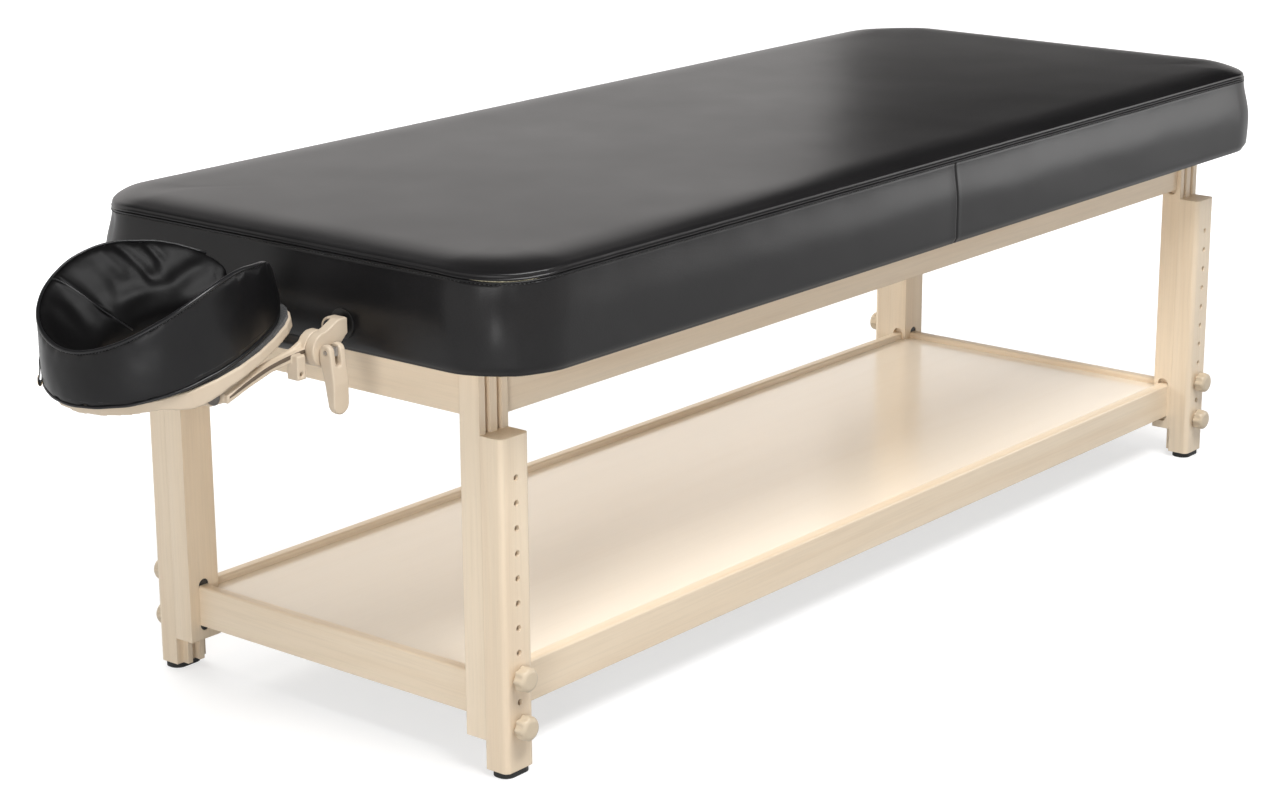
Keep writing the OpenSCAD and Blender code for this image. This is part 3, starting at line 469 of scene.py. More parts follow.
# ---------------------------------------------------------------- tabletop
ROLL, ROLL_END = 0.068, 0.6582     # width of the rolled edge above the seam, and its height
SEAM_IN = 0.00544                  # how far the sewing draws the seam in
SEAM_HALF = 0.004                  # half the height of the sewn strip
SEAM_R = 0.115                     # plan radius of the seam's corners
SEAM_DIP = 0.005                   # how far the seam dips at the corners
SEAM_X = 0.004                     # upright seam of the band, from the table's centre
LEAST_R = 0.014                    # plan radius of the inner rings
MIDDLE = 0.03                      # half width that the innermost ring leaves open
DOME, DOME_IN = 0.0017, 0.02       # rise of the padding, and how far inside the edge it starts
HEM_IN, SWELL = 0.0045, 0.0012     # rounding at the lower edge, and swell of the band
PUFF, PUFF_SHARE = 0.0026, 0.13    # swell just above the seam, over this share of the roll
LESS_PROUD = 0.0017                # how much less the seam stands out at the corners
SEWING_PULL, DIP_REACH = 0.012, 0.030      # how far from the seam its puckers and its dip reach
LONG_STEPS, SHORT_STEPS, CORNER_STEPS = 96, 34, 18
# extra columns round the upright seam, as distances from it
SEAM_COLUMNS = (-0.0081, -0.0041, -0.0021, -0.0009, 0.0001, 0.0011, 0.0023, 0.0043, 0.0083)
BAND_SHARES = (0, 0.012, 0.035, 0.07, 0.11, 0.16, 0.22, 0.29, 0.37, 0.46, 0.55, 0.64, 0.72,
               0.79, 0.85, 0.90, 0.94, 0.97, 1.0)
# the sewn strip: (height in it, how far it stands out, kind), a stitched groove, a
# lip, the seam itself and a second lip
SEWN = ((0.0006, -0.0006, "stitch"), (0.0012, 0.0004, "lip"), (0.0020, 0.0018, "lip"),
        (0.0030, 0.0020, "lip"), (0.0037, 0.0006, "lip"), (0.0042, -0.0022, "seam"),
        (0.0047, 0.0004, "lip"), (0.0054, 0.0018, "lip"), (0.0064, 0.0018, "lip"),
        (0.0072, 0.0010, "lip"), (0.0079, 0.0002, "lip"))
ROLL_SHARES = (0.008, 0.02, 0.04, 0.075, 0.12, 0.17, 0.23, 0.30, 0.38, 0.47, 0.57, 0.68,
               0.80, 0.92, 1.0)
FLAT_SHARES = (0.04, 0.09, 0.15, 0.23, 0.32, 0.42, 0.53, 0.65, 0.77, 0.89, 1.0)
# upright seam: (distance from it, half width, how far it stands out)
UPRIGHT = ((0, 0.0010, -0.0013), (0.004, 0.0022, 0.0004), (0, 0.030, -0.0004))
# (scale, seed, share of the height, amplitude)
CROWN_WAVES = ((3.6, 3.1, 1.0, 0.0008), (9.0, 7.7, 1.0, 0.00035))
PUCKER_WAVES = ((52.0, 1.3, 0.25, 0.0010), (120.0, 4.1, 0.4, 0.0004))
SLACK_WAVES = ((5.5, 5.9, 1.2, 0.0009), (15.0, 2.2, 2.2, 0.0004))


def plan_points(inset, radius):
    """Points round the plan with their outward directions, from the near side's left end."""
    r = max(radius - inset, LEAST_R)
    hx, hy = TOP_L / 2 - inset - r, TOP_W / 2 - inset - r
    pts = []

    def side(x0, y0, x1, y1, n, nx, ny, extra=()):
        for t in sorted(set([i / n for i in range(n)] + list(extra))):
            pts.append((x0 + (x1 - x0) * t, y0 + (y1 - y0) * t, nx, ny))

    def corner(cx, cy, a0):
        for i in range(CORNER_STEPS):
            a = math.radians(a0 + 90 * i / CORNER_STEPS)
            pts.append((cx + r * math.cos(a), cy + r * math.sin(a), math.cos(a), math.sin(a)))

    mid = [(d + hx) / (2 * hx) for d in SEAM_COLUMNS]
    shift = SEAM_X / (2 * hx)
    side(-hx, -hy - r, hx, -hy - r, LONG_STEPS, 0, -1, [m + shift for m in mid])
    corner(hx, -hy, -90)
    side(hx + r, -hy, hx + r, hy, SHORT_STEPS, 1, 0)
    corner(hx, hy, 0)
    side(hx, hy + r, -hx, hy + r, LONG_STEPS, 0, 1, [m - shift for m in mid])
    corner(-hx, hy, 90)
    side(-hx - r, hy, -hx - r, -hy, SHORT_STEPS, -1, 0)
    corner(-hx, -hy, 180)
    return pts


def crown_z(x, y):
    """Slight dome of the padding."""
    u = abs(x) / (TOP_L / 2 - DOME_IN)
    v = abs(y) / (TOP_W / 2 - DOME_IN)
    return DOME * (1 - clamp(u) ** 4) * (1 - clamp(v) ** 2)


def top_rings():
    """(inset, z, corner radius, kind) of each ring from the lower hem to the middle."""
    rings = []
    band = SEAM_Z - SEAM_HALF - BASE_Z
    for t in BAND_SHARES:
        low = HEM_IN * (1 - smooth(0, 0.10, t)) ** 2
        high = SEAM_IN * smooth(0.45, 1.0, t) ** 1.2 - SWELL * math.sin(math.pi * t)
        radius = CORNER + (SEAM_R - CORNER) * smooth(0.25, 1, t)
        rings.append((low + high, BASE_Z + band * t, radius, "band"))
    for d, out, kind in SEWN:
        rings.append((SEAM_IN - out, SEAM_Z - SEAM_HALF + d, SEAM_R, kind))
    z0 = SEAM_Z + SEAM_HALF
    for u in ROLL_SHARES:
        puffed = -PUFF * math.sin(math.pi * (u / PUFF_SHARE)) if u < PUFF_SHARE else 0.0
        z = z0 + (ROLL_END - z0) * (1 - (1 - u) ** 2.4) ** 0.52
        rings.append((SEAM_IN + puffed + ROLL * u, z, SEAM_R, "roll"))
    span = TOP_W / 2 - ROLL - SEAM_IN - MIDDLE
    for t in FLAT_SHARES:
        rings.append((SEAM_IN + ROLL + span * t, ROLL_END, SEAM_R, "top"))
    return rings


def build_top():
    """The vinyl cover, with its rings, the points of a ring and all its points."""
    rings = top_rings()
    verts = []
    cols = len(plan_points(0.0, CORNER))
    for inset, z, radius, kind in rings:
        for (x, y, nx, ny) in plan_points(inset, radius):
            p = Vector((x, y, z))
            out = Vector((nx, ny, 0))
            bend = (2 * abs(nx * ny)) ** 1.4
            if kind in ("top", "roll"):
                k = smooth(0.0, 0.05, inset)
                p.z += crown_z(x, y)
                p.z += ripple(p, CROWN_WAVES) * k
                p.z -= SEAM_DIP * bend * math.exp(-inset / DIP_REACH)
            else:
                p.z -= SEAM_DIP * bend * smooth(BASE_Z, SEAM_Z, z)
            near = math.exp(-abs(z - SEAM_Z) / SEWING_PULL)
            if kind != "top":                        # puckers that the sewing draws in
                p += out * ripple((x, y, z), PUCKER_WAVES) * near
            if kind in ("lip", "roll"):
                p -= out * LESS_PROUD * bend * near
            if kind == "band":
                slack = ripple((x, y, z), SLACK_WAVES)
                p += out * slack * smooth(BASE_Z, BASE_Z + 0.03, z) * (1 - near)
                # soft gathers on the corners
                turn = math.atan2(ny, nx)
                gather = (math.sin(turn * 9.0 + z * 30) * 0.0012
                          + wave((turn * 2.2, 0.0, z * 3.0), 5.0, 9.4) * 0.0018)
                p += out * gather * bend
            # upright seam in the middle of each long side's band
            if kind not in ("top", "roll") and abs(ny) > 0.9:
                d = x - (SEAM_X if ny < 0 else -SEAM_X)
                fade = 1 - smooth(SEAM_Z - 0.006, SEAM_Z - 0.002, z)
                for at, w, high in UPRIGHT:
                    p += out * high * math.exp(-((abs(d) - at) / w) ** 2) * fade
            verts.append(p)
    faces = grid_faces(len(rings), cols)
    top = len(verts)
    # close the middle with quads from the near side of the last ring to its far side
    last, ring = (len(rings) - 1) * cols, plan_points(rings[-1][0], rings[-1][2])
    mirror = min(range(cols), key=lambda i: math.hypot(ring[i][0] - ring[0][0],
                                                       ring[i][1] + ring[0][1]))
    side_count = mirror - cols // 2
    faces += [(last + j, last + j + 1, last + mirror - j - 1, last + mirror - j)
              for j in range(side_count)]
    faces.append(tuple(last + j for j in range(side_count, cols // 2 + 1)))
    faces.append(tuple(last + j % cols for j in range(mirror, cols + 1)))
    # turned-in hem below
    for (x, y, nx, ny) in plan_points(0.0130, CORNER):
        verts.append(Vector((x, y, BASE_Z + 0.0004)))
    faces += [(top + j, top + (j + 1) % cols, (j + 1) % cols, j) for j in range(cols)]
    verts = [v + Vector((OX, 0, 0)) for v in verts]
    o = mesh_object("tabletop_cover", verts, faces, vinyl)
    recalc(o)
    return o, rings, cols, verts


top_cover, top_ring_list, top_cols, top_verts = build_top()
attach(top_cover, "table")
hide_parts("top_cover")


def ring_line(k, proud):
    """A ring of the cover, moved outwards, with its directions."""
    ring = top_verts[k * top_cols:(k + 1) * top_cols]
    ns = [Vector((b[2], b[3], 0.1)).normalized() for b in plan_points(0.0, CORNER)]
    return [p + n * proud for p, n in zip(ring, ns)], ns


stitch_at = [i for i, r in enumerate(top_ring_list) if r[3] == "stitch"][0]
line, ns = ring_line(stitch_at, 0.0004)
row = stitches("tabletop_stitch", line, ns, thread, pitch=0.0052, length=0.0036,
               width=0.0010, closed=True)
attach(row, "table")

# ---------------------------------------------------------------- face cushion
# its middle line is an egg, its places are given as (angle from the crown, place
# round the section), and its tips end at TIP_A degrees on either side
EGG_L, EGG_HALF, EGG_SHARE, EGG_OUT = 0.266, 0.087, 0.27, 0.049
TIP_A, TIP_ROUND = 150.0, 28.0     # angle of a tip's end, and of the part that rounds off
CUSH_W, CUSH_Z = 0.038, 0.030      # half width, and height of its base above the pivot
CROWN_H, SIDE_H, TIP_H, LEAN = 0.060, 0.104, 0.052, 0.016
TIP_MID, TIP_SWELL = 0.50, 0.017   # height share at the very end of a tip, and its swell
SAG = 0.008                        # how far the cover hangs over the edge at the crown
VOXEL = 0.0045                     # of the cushion's even mesh
# outline of the section: places out from and up the middle line, as shares
SIDE_SHARES = [0.86, 0.96, 1, 0.99, 0.95, 0.88, 0.74, 0.5, 0.18,
               -0.18, -0.52, -0.8, -0.96, -0.98, -0.84]
RISE_SHARES = [0, 0.1, 0.32, 0.6, 0.86, 1, 0.99, 0.88, 0.72, 0.56, 0.44, 0.34, 0.22, 0.09, 0]


def egg_at(a):
    a = math.radians(a)
    return Vector((EGG_OUT - EGG_L / 2 * math.cos(a),
                   EGG_HALF * math.sin(a) * (1 + EGG_SHARE * math.cos(a)), 0))


def egg_dir(a):
    """Outward direction at an angle."""
    a = math.radians(a)
    dx = EGG_L / 2 * math.sin(a)
    dy = EGG_HALF * (math.cos(a) * (1 + EGG_SHARE * math.cos(a))
                     - EGG_SHARE * math.sin(a) ** 2)
    return Vector((-dy, dx, 0)).normalized()


def tip_f(a):
    """Share of the full section, which falls to nothing at a tip."""
    t = (abs(a) - TIP_A + TIP_ROUND) / TIP_ROUND
    return 1.0 if t <= 0 else math.sqrt(max(0.0, 1 - t * t))


def cush_h(a):
    """Height of the rim at an angle."""
    c, s = math.cos(math.radians(a)), math.sin(math.radians(a))
    if c > 0:
        return CROWN_H + (SIDE_H - CROWN_H) * s * s
    return SIDE_H + (TIP_H - SIDE_H) * (-c) ** 1.5


def catmull(values, t):
    """Smooth curve through evenly spaced values."""
    n = len(values) - 1
    x = clamp(t) * n
    i = min(int(x), n - 1)
    u = x - i
    p = [values[max(0, i - 1)], values[i], values[i + 1], values[min(n, i + 2)]]
    return 0.5 * (2 * p[1] + (p[2] - p[0]) * u
                  + (2 * p[0] - 5 * p[1] + 4 * p[2] - p[3]) * u * u
                  + (3 * p[1] - p[0] - 3 * p[2] + p[3]) * u ** 3)


def crown_lean(a, rise):
    """How far the wall leans in towards the crown, at a share of its height."""
    return LEAN * rise * max(0.0, math.cos(math.radians(a))) ** 2


def cush_point(a, t, shrink=0.0):
    """Point of the cushion's skin in the platform's tilted frame, drawn in by shrink."""
    f, c, n, up = tip_f(a), egg_at(a), egg_dir(a), cush_h(a)
    side, rise = catmull(SIDE_SHARES, t), clamp(catmull(RISE_SHARES, t))
    p = c + n * ((CUSH_W - shrink) * side * f - crown_lean(a, rise))
    g = f ** 0.9          # the tip's end stands nearly upright
    z = up * (TIP_MID * (1 - g) + rise * g) if rise > 0 else 0.0
    # the end of a tip swells towards the table
    onward = Vector((-n.y, n.x, 0))
    onward = onward if onward.x > 0 else -onward
    if z > 0:
        p += onward * (TIP_SWELL * (1 - f) ** 0.7 * math.sin(math.pi * clamp(z / up * 0.9)))
    sag = SAG * max(0.0, math.cos(math.radians(a))) ** 1.2 * (1 - smooth(0.0, 0.13, t))
    return Vector((p.x, p.y, CUSH_Z + z * (1 - shrink * 4) - sag))


def place_tilted(p):
    """From the platform's tilted frame to the part's frame."""
    c, s = math.cos(TILT), math.sin(TILT)
    return Vector((PIVOT.x + p.x * c - p.z * s, p.y, PIVOT.z + p.x * s + p.z * c))


def untilted(q):
    c, s = math.cos(TILT), math.sin(TILT)
    x, z = q[0] - PIVOT.x, q[2] - PIVOT.z
    return Vector((x * c + z * s, q[1], z * c - x * s))


def stations(step=2.6, end=0.7):
    """Angles along the cushion, closer towards its tips, up to end degrees short of them."""
    full = TIP_A - TIP_ROUND
    n = int(round(2 * full / step))
    mid = [-full + 2 * full * i / n for i in range(n + 1)]
    tips = [full + TIP_ROUND * math.sin(math.radians(10 * i)) for i in range(1, 9)]
    tips.append(TIP_A - end)
    tips = sorted(v for v in set(round(v, 4) for v in tips) if v <= TIP_A - end)
    return [-v for v in reversed(tips)] + mid + tips


RIM_T = 5 / 14          # place of the rim round the section
HEM_T = 0.4 / 14


def surface_of(o):
    return BVHTree.FromObject(o, bpy.context.evaluated_depsgraph_get())


def bake(o):
    """Write an object's modifiers into its mesh."""
    me = bpy.data.meshes.new_from_object(o.evaluated_get(bpy.context.evaluated_depsgraph_get()))
    me.name = o.name
    o.modifiers.clear()
    o.data = me
    for p in me.polygons:
        p.use_smooth = True


PRESSURE, FRAMES, TRAVEL = 4.0, 20, 0.010      # of the cover's simulation


def puff(o, held):
    """Cloth under pressure between its seams, for the stretched cover of a pad."""
    scene = bpy.context.scene
    start = [v.co.copy() for v in o.data.vertices]
    group = o.vertex_groups.new(name="held")
    for i, w in held:
        group.add([i], w, "REPLACE")
    c = o.modifiers.new("puff", "CLOTH")
    c.settings.quality = 6
    c.settings.mass = 0.3
    c.settings.tension_stiffness = c.settings.compression_stiffness = 10
    c.settings.shear_stiffness = 4
    c.settings.bending_stiffness = 6.0
    c.settings.use_pressure = True
    c.settings.uniform_pressure_force = PRESSURE
    c.settings.vertex_group_mass = "held"
    c.settings.effector_weights.gravity = 0
    c.collision_settings.use_collision = False
    c.collision_settings.use_self_collision = False
    c.point_cache.frame_start, c.point_cache.frame_end = 1, FRAMES
    for f in range(1, FRAMES + 1):
        scene.frame_set(f)
    blown = bpy.data.meshes.new_from_object(o.evaluated_get(bpy.context.evaluated_depsgraph_get()))
    o.modifiers.clear()
    o.vertex_groups.clear()
    scene.frame_set(1)
    for v, a, b in zip(o.data.vertices, start, blown.vertices):
        d = b.co - a
        if d.length > TRAVEL:
            d *= TRAVEL / d.length
        v.co = a + d
    bpy.data.meshes.remove(blown)


def build_cushion():
    """The cushion before its cover is stretched, as an even mesh."""
    angles = stations()
    round_count, drawn_in, base_share = 64, 0.0035, 0.64
    verts = []
    for a in angles:
        low = egg_at(a) + egg_dir(a) * (CUSH_W * base_share * tip_f(a))
        for j in range(round_count):
            t = j / (round_count - 1)
            free = (min(abs(t - RIM_T) / 0.10, 1.0) * min(t / 0.10, 1.0)
                    * min((1 - t) / 0.06, 1.0))
            verts.append(cush_point(a, t, drawn_in * free))
        verts.append(Vector((low.x, low.y, CUSH_Z)))
    rows, m = len(angles), round_count + 1
    faces = grid_faces(rows, m)
    faces.append(tuple(range(m))[::-1])
    faces.append(tuple((rows - 1) * m + j for j in range(m)))
    o = mesh_object("cradle_cushion", [place_tilted(v) for v in verts], faces, vinyl_cradle)
    recalc(o)
    rm = o.modifiers.new("even", "REMESH")
    rm.mode = "VOXEL"
    rm.voxel_size = VOXEL
    rm.use_smooth_shade = True
    bake(o)
    return o


def near_line(line, p):
    """Distance from a point to a polyline, and how far along it the nearest place is."""
    best, where = 1e9, 0.0
    for k in range(len(line) - 1):
        a, b = line[k], line[k + 1]
        ab = b - a
        u = clamp((p - a).dot(ab) / max(ab.length_squared, 1e-12))
        d = (p - a - ab * u).length
        if d < best:
            best, where = d, (k + u) / (len(line) - 1)
    return best, where


def between(line, steps):
    """The places of a line of (angle, place round the section), with steps in each part."""
    return [(a0 + (a1 - a0) * (i / steps), t0 + (t1 - t0) * (i / steps))
            for (a0, t0), (a1, t1) in zip(line, line[1:]) for i in range(steps)]


def lay(line):
    """Points of the cushion along a line of (angle, place round the section)."""
    return [place_tilted(cush_point(*at)) for at in between(line, 6) + [line[-1]]]


# folds of the inner wall: (line, depth, half width), minus is a crease and plus a ridge
FOLDS = [
    ([(99, 0.40), (103, 0.50), (108, 0.60), (112, 0.69)], -0.0020, 0.0060),
    ([(91, 0.43), (94, 0.54), (98, 0.64)], 0.0012, 0.0080),
    ([(113, 0.40), (116, 0.50), (120, 0.60)], -0.0016, 0.0050),
    ([(146, 0.50), (136, 0.60), (120, 0.69), (105, 0.71), (88, 0.72), (76, 0.70)],
     0.0019, 0.0100),
    ([(56, 0.52), (50, 0.64), (46, 0.76)], 0.0010, 0.0130),
    ([(-97, 0.40), (-101, 0.52), (-108, 0.66)], -0.0018, 0.0055),
    ([(-114, 0.41), (-116, 0.52), (-121, 0.62)], -0.0014, 0.0050),
    ([(-144, 0.50), (-134, 0.60), (-118, 0.69), (-100, 0.71), (-80, 0.72)], 0.0018, 0.0100),
]
CROWN_SEAM = [(63, 0.365), (66, 0.50), (71, 0.64), (79, 0.80), (88, 0.93)]
SEAM_LINE = (-0.0022, 0.0022)            # depth and half width of the crown's seam
FLANK_AT, FLANK = 1.9, 0.35              # flanks of a fold, in half widths, and their height
FADE_IN, FADE_OUT = 0.22, 0.72           # shares of its length between which a fold is full
SKIN_WAVES = ((26.0, 2.7, 1.0, 0.0007), (60.0, 5.1, 1.0, 0.00025))
RIM_HOLD, RIM_REACH = 0.85, 0.008        # how firmly the rim's seam holds, and how far

cushion = build_cushion()
rim = [place_tilted(cush_point(a, RIM_T)) for a in stations(2.6, 3.0)]
held = []
for v in cushion.data.vertices:
    if untilted(v.co).z < CUSH_Z + 0.004:
        held.append((v.index, 1.0))
        continue
    edge = near_line(rim, v.co)[0]
    if edge < RIM_REACH:
        held.append((v.index, RIM_HOLD * (1 - smooth(0.002, RIM_REACH, edge))))
puff(cushion, held)
even = cushion.modifiers.new("even", "SMOOTH")
even.factor = 0.5
even.iterations = 14
cushion.modifiers.new("fine", "SUBSURF").levels = 1
cushion.modifiers["fine"].render_levels = 1
bake(cushion)
# (points, depth, half width, whether it fades at its ends, least and greatest corner)
lines = []
for path, depth, w, fades in [(*f, True) for f in FOLDS] + [(CROWN_SEAM, *SEAM_LINE, False)]:
    pts = lay(path)
    reach = 3.2 * w + 0.008
    lo = [min(q[i] for q in pts) - reach for i in range(3)]
    hi = [max(q[i] for q in pts) + reach for i in range(3)]
    lines.append((pts, depth, w, fades, lo, hi))
moves = []
for v in cushion.data.vertices:
    push = ripple(v.co, SKIN_WAVES) if untilted(v.co).z >= CUSH_Z + 0.002 else 0.0
    for pts, depth, w, fades, lo, hi in lines:
        if all(lo[i] < v.co[i] < hi[i] for i in range(3)):
            d, u = near_line(pts, v.co)
            share = smooth(0.0, FADE_IN, u) * (1 - smooth(FADE_OUT, 1.0, u)) if fades else 1.0
            push += depth * share * (math.exp(-(d / w) ** 2)
                                     - FLANK * math.exp(-((d - FLANK_AT * w) / w) ** 2))
    moves.append(v.normal * push)
for v, d in zip(cushion.data.vertices, moves):
    v.co += d
cushion.data.update()


def angle_of(q):
    """Angle of a point of the tilted frame, found by a few repeats."""
    a = math.degrees(math.atan2(q.y / EGG_HALF, (EGG_OUT - q.x) / (EGG_L / 2)))
    for _ in range(3):
        half = EGG_HALF * (1 + EGG_SHARE * math.cos(math.radians(a)))
        a = math.degrees(math.atan2(q.y / half, (EGG_OUT - q.x) / (EGG_L / 2)))
    return a


# the inner wall has a darker, duller copy of the vinyl, its darker colour painted shade inside the
# hollow: faces this far in that look no further outwards
INNER_SHARE, INNER_TURN = 0.80, 0.86
cushion.data.materials.append(vinyl_inner_shaded)
for face in cushion.data.polygons:
    q = untilted(face.center)
    a = angle_of(q)
    lean = crown_lean(a, clamp((q.z - CUSH_Z) / cush_h(a)))
    across = (q - egg_at(a)).dot(egg_dir(a)) + lean
    outwards = face.normal.dot(place_tilted(egg_dir(a)) - PIVOT)
    if across < INNER_SHARE * CUSH_W and outwards < INNER_TURN:
        face.material_index = 1
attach(cushion, "face_cushion")
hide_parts("face_cushion")
skin = surface_of(cushion)


def eased(values):
    """Each inner value and its neighbours, summed with the weights 1, 2 and 1."""
    return [values[i - 1] + values[i] * 2 + values[i + 1] for i in range(1, len(values) - 1)]


def sewn(name, pts_at, proud, maker, smoothing=8):
    """A line of sewing along (angle, place round the section) pairs, laid on the skin."""
    pts, ns = [], []
    for a, t in pts_at:
        q, n = skin.find_nearest(place_tilted(cush_point(a, t)))[:2]
        pts.append(q + n * proud)
        ns.append(n)
    for _ in range(smoothing):             # a sewn line runs smoothly over the pad
        ns = [ns[0]] + [n.normalized() for n in eased(ns)] + [ns[-1]]
        pts = [pts[0]] + [p / 4 for p in eased(pts)] + [pts[-1]]
    o = maker(name, pts, ns)
    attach(o, "face_cushion")
    return o


def cord(radius, sides, squash_to=1.0):
    return lambda name, pts, ns: tube(name, pts, radius, piping_vinyl, ns, sides, squash_to)


def thread_row(name, pts, ns):
    return stitches(name, pts, ns, thread, pitch=0.0046, length=0.0034, width=0.0006)


SEAM_END = 144                            # angle where the seams run out
around = [a for a in stations(1.6, 4.0) if abs(a) < SEAM_END]
sewn("cradle_welt", [(a, RIM_T) for a in around], 0.0014, cord(0.0026, 10, 0.7), 14)
sewn("cradle_hem_seam", [(a, 0.075) for a in around], 0.0, cord(0.0009, 6, 0.6), 14)
sewn("cradle_stitch_inner", [(a, RIM_T + 0.024) for a in around], 0.0003, thread_row)
sewn("cradle_stitch_outer", [(a, RIM_T - 0.030) for a in around], 0.0003, thread_row)
sewn("cradle_piping", [(a, HEM_T) for a in stations(1.6, 3.0)], 0.0010, cord(0.0020, 8))
sewn("cradle_crown_seam", between(CROWN_SEAM, 8), 0.0002, cord(0.0011, 6, 0.6))

# pull strap at the crown's far side: folded webbing in a brass end
TAB_ANGLE = 34
tab_c, tab_n = egg_at(TAB_ANGLE), egg_dir(TAB_ANGLE)


def strap(name, path, half, thick, material):
    """A flat strap along (distance out, height) points, in the cushion's tilted frame."""
    pts = [place_tilted(tab_c + tab_n * d + Vector((0, 0, z))) for d, z in path]
    side = place_tilted(Vector((-tab_n.y, tab_n.x, 0))) - place_tilted(Vector((0, 0, 0)))
    ns = []
    for i in range(len(pts)):
        run = (pts[min(i + 1, len(pts) - 1)] - pts[max(i - 1, 0)]).normalized()
        ns.append(run.cross(side).normalized())
    o = tube(name, pts, half, material, ns, sides=16, squash_to=thick / half)
    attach(o, "face_cushion")
    return o


STRAP_PATH = [(0.0305, 0.056), (0.0316, 0.050), (0.0328, 0.044), (0.0344, 0.038),
              (0.0362, 0.033), (0.0376, 0.029), (0.0374, 0.0262), (0.0358, 0.0258),
              (0.0342, 0.0285), (0.0328, 0.033), (0.0314, 0.038)]
END_PATH = [(0.0376, 0.0330), (0.0386, 0.0285), (0.0378, 0.0252), (0.0356, 0.0248),
            (0.0338, 0.0275), (0.0326, 0.0315)]
tab = strap("cradle_strap", STRAP_PATH, 0.0075, 0.0008, webbing)
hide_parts("pull_tab")
strap("cradle_strap_end", END_PATH, 0.0080, 0.0007, brass)

# ---------------------------------------------------------------- arms
# painted shade along the lip of each arm: a dark brown strip standing for the shade in the recess
# under the platform's skirt
ARM_RUN, ARM_FALL, LIP_Y = 0.163, 0.027, 0.1177
ARM_X_SHARES = [0.12, 0.32, 0.54, 0.80, 0.90]
ARM_Z_SHARES = [-0.34, 0.1, 0.48, 0.72, 0.765]
SHADE_LOW, SHADE_HIGH, SHADE_TAPER = 0.0048, 0.0094, 0.0016
SHADE_IN, SHADE_OUT, SHADE_STEPS = -0.0006, 0.0005, 28
for label, s in (("near", -1), ("far", 1)):
    verts, n = [], SHADE_STEPS
    for i in range(n + 1):
        t = i / n
        x = PIVOT.x + ARM_RUN * catmull(ARM_X_SHARES, t)
        arm_z = PIVOT.z + ARM_FALL * catmull(ARM_Z_SHARES, t)
        narrow = SHADE_TAPER * (1 - math.sin(math.pi * clamp(t, 0.02, 0.98))) ** 3
        low, high = SHADE_LOW + narrow, SHADE_HIGH - narrow
        for z, y in ((low, SHADE_IN), (low, SHADE_OUT), (high, SHADE_OUT), (high, SHADE_IN)):
            verts.append((x, s * (LIP_Y + y), arm_z + z))
    faces = grid_faces(n + 1, 4) + [(0, 1, 2, 3), tuple(4 * n + k for k in (3, 2, 1, 0))]
    # the strip's dark brown is painted shade, not a part of the arm
    shade_strip = mesh_object("cradle_arm_painted_shade_" + label, verts, faces, painted_shade_brown, False)
    recalc(shade_strip)
    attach(shade_strip, "cradle_arms")

# ---------------------------------------------------------------- socket shade
# painted shade: dark half discs above and below the cross rails, in the posts' routed sockets, for
# the shade deep inside them
SOCKET_R, SOCKET_IN, SOCKET_DEEP, SOCKET_GAP = 0.0088, 0.0016, 0.0085, 0.0003
ARC = 12
verts, faces = [], []
for end in ("head", "foot"):
    rail_lo, rail_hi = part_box("shelf_rail_" + end)
    rail_x = (rail_lo[0] + rail_hi[0]) / 2
    for label, s in (("near", -1), ("far", 1)):
        post_lo, post_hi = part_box("post_%s_%s" % (end, label))
        face_y = post_lo[1] if s > 0 else post_hi[1]
        for z, up in ((rail_lo[2] - SOCKET_GAP, -1), (rail_hi[2] + SOCKET_GAP, 1)):
            k, m = len(verts), ARC + 1
            for y in (face_y + s * SOCKET_IN, face_y + s * SOCKET_DEEP):
                for i in range(m):
                    w = math.pi * i / ARC
                    verts.append((rail_x + SOCKET_R * math.cos(w), y,
                                  z + up * SOCKET_R * math.sin(w)))
            faces += [(k + i, k + (i + 1) % m, k + m + (i + 1) % m, k + m + i) for i in range(m)]
            faces += [tuple(k + i for i in range(m))[::-1], tuple(k + m + i for i in range(m))]
# black plastic here is painted shade for the sockets' shadowed depth
socket_shade = mesh_object("socket_painted_shade", verts, faces, black_plastic, False)
recalc(socket_shade)
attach(socket_shade, "table")

# ---------------------------------------------------------------- stage
FLOOR_GREY = 0.42                  # colour of the floor, where it shows the shadow
FLOOR_GLOW = 0.64                  # white that it adds to the camera's rays by the object
FLOOR_GLOSS = 0.48                 # share of that white which reflections see
GLOW_FROM, GLOW_TO = 1.2, 3.0      # distances between which the glow rises to full white
FLOOR_HALF, FLOOR_Z = 9, -0.0004


def set_range(n, low, high, at_low, at_high):
    for i, v in enumerate((low, high, at_low, at_high), 1):
        n.inputs[i].default_value = v


def matt(name, value):
    """A plain matt material without any gloss."""
    m, nt, bsdf = new_material(name)
    bsdf.inputs["Base Color"].default_value = (*grey(value), 1)
    bsdf.inputs["Roughness"].default_value = 1.0
    bsdf.inputs["Specular IOR Level"].default_value = 0.0
    return m, nt, bsdf


def floor_material():
    """A matt floor, white to the camera, with the object's shadow where it stands."""
    m, nt, bsdf = matt("floor_white", FLOOR_GREY)
    bsdf.inputs["Emission Color"].default_value = (1, 1, 1, 1)
    co = nt.nodes.new("ShaderNodeTexCoord")
    far = node(nt, "ShaderNodeVectorMath", operation="LENGTH")
    nt.links.new(co.outputs["Object"], far.inputs[0])
    glow = nt.nodes.new("ShaderNodeMapRange")
    set_range(glow, GLOW_FROM, GLOW_TO, FLOOR_GLOW, 1.0)
    nt.links.new(far.outputs["Value"], glow.inputs[0])
    path = nt.nodes.new("ShaderNodeLightPath")
    seen = node(nt, "ShaderNodeMath", operation="MULTIPLY")
    both = node(nt, "ShaderNodeMath", operation="MULTIPLY_ADD")
    nt.links.new(path.outputs["Is Glossy Ray"], both.inputs[0])
    both.inputs[1].default_value = FLOOR_GLOSS
    nt.links.new(path.outputs["Is Camera Ray"], both.inputs[2])
    nt.links.new(both.outputs[0], seen.inputs[0])
    nt.links.new(glow.outputs[0], seen.inputs[1])
    nt.links.new(seen.outputs[0], bsdf.inputs["Emission Strength"])
    return m


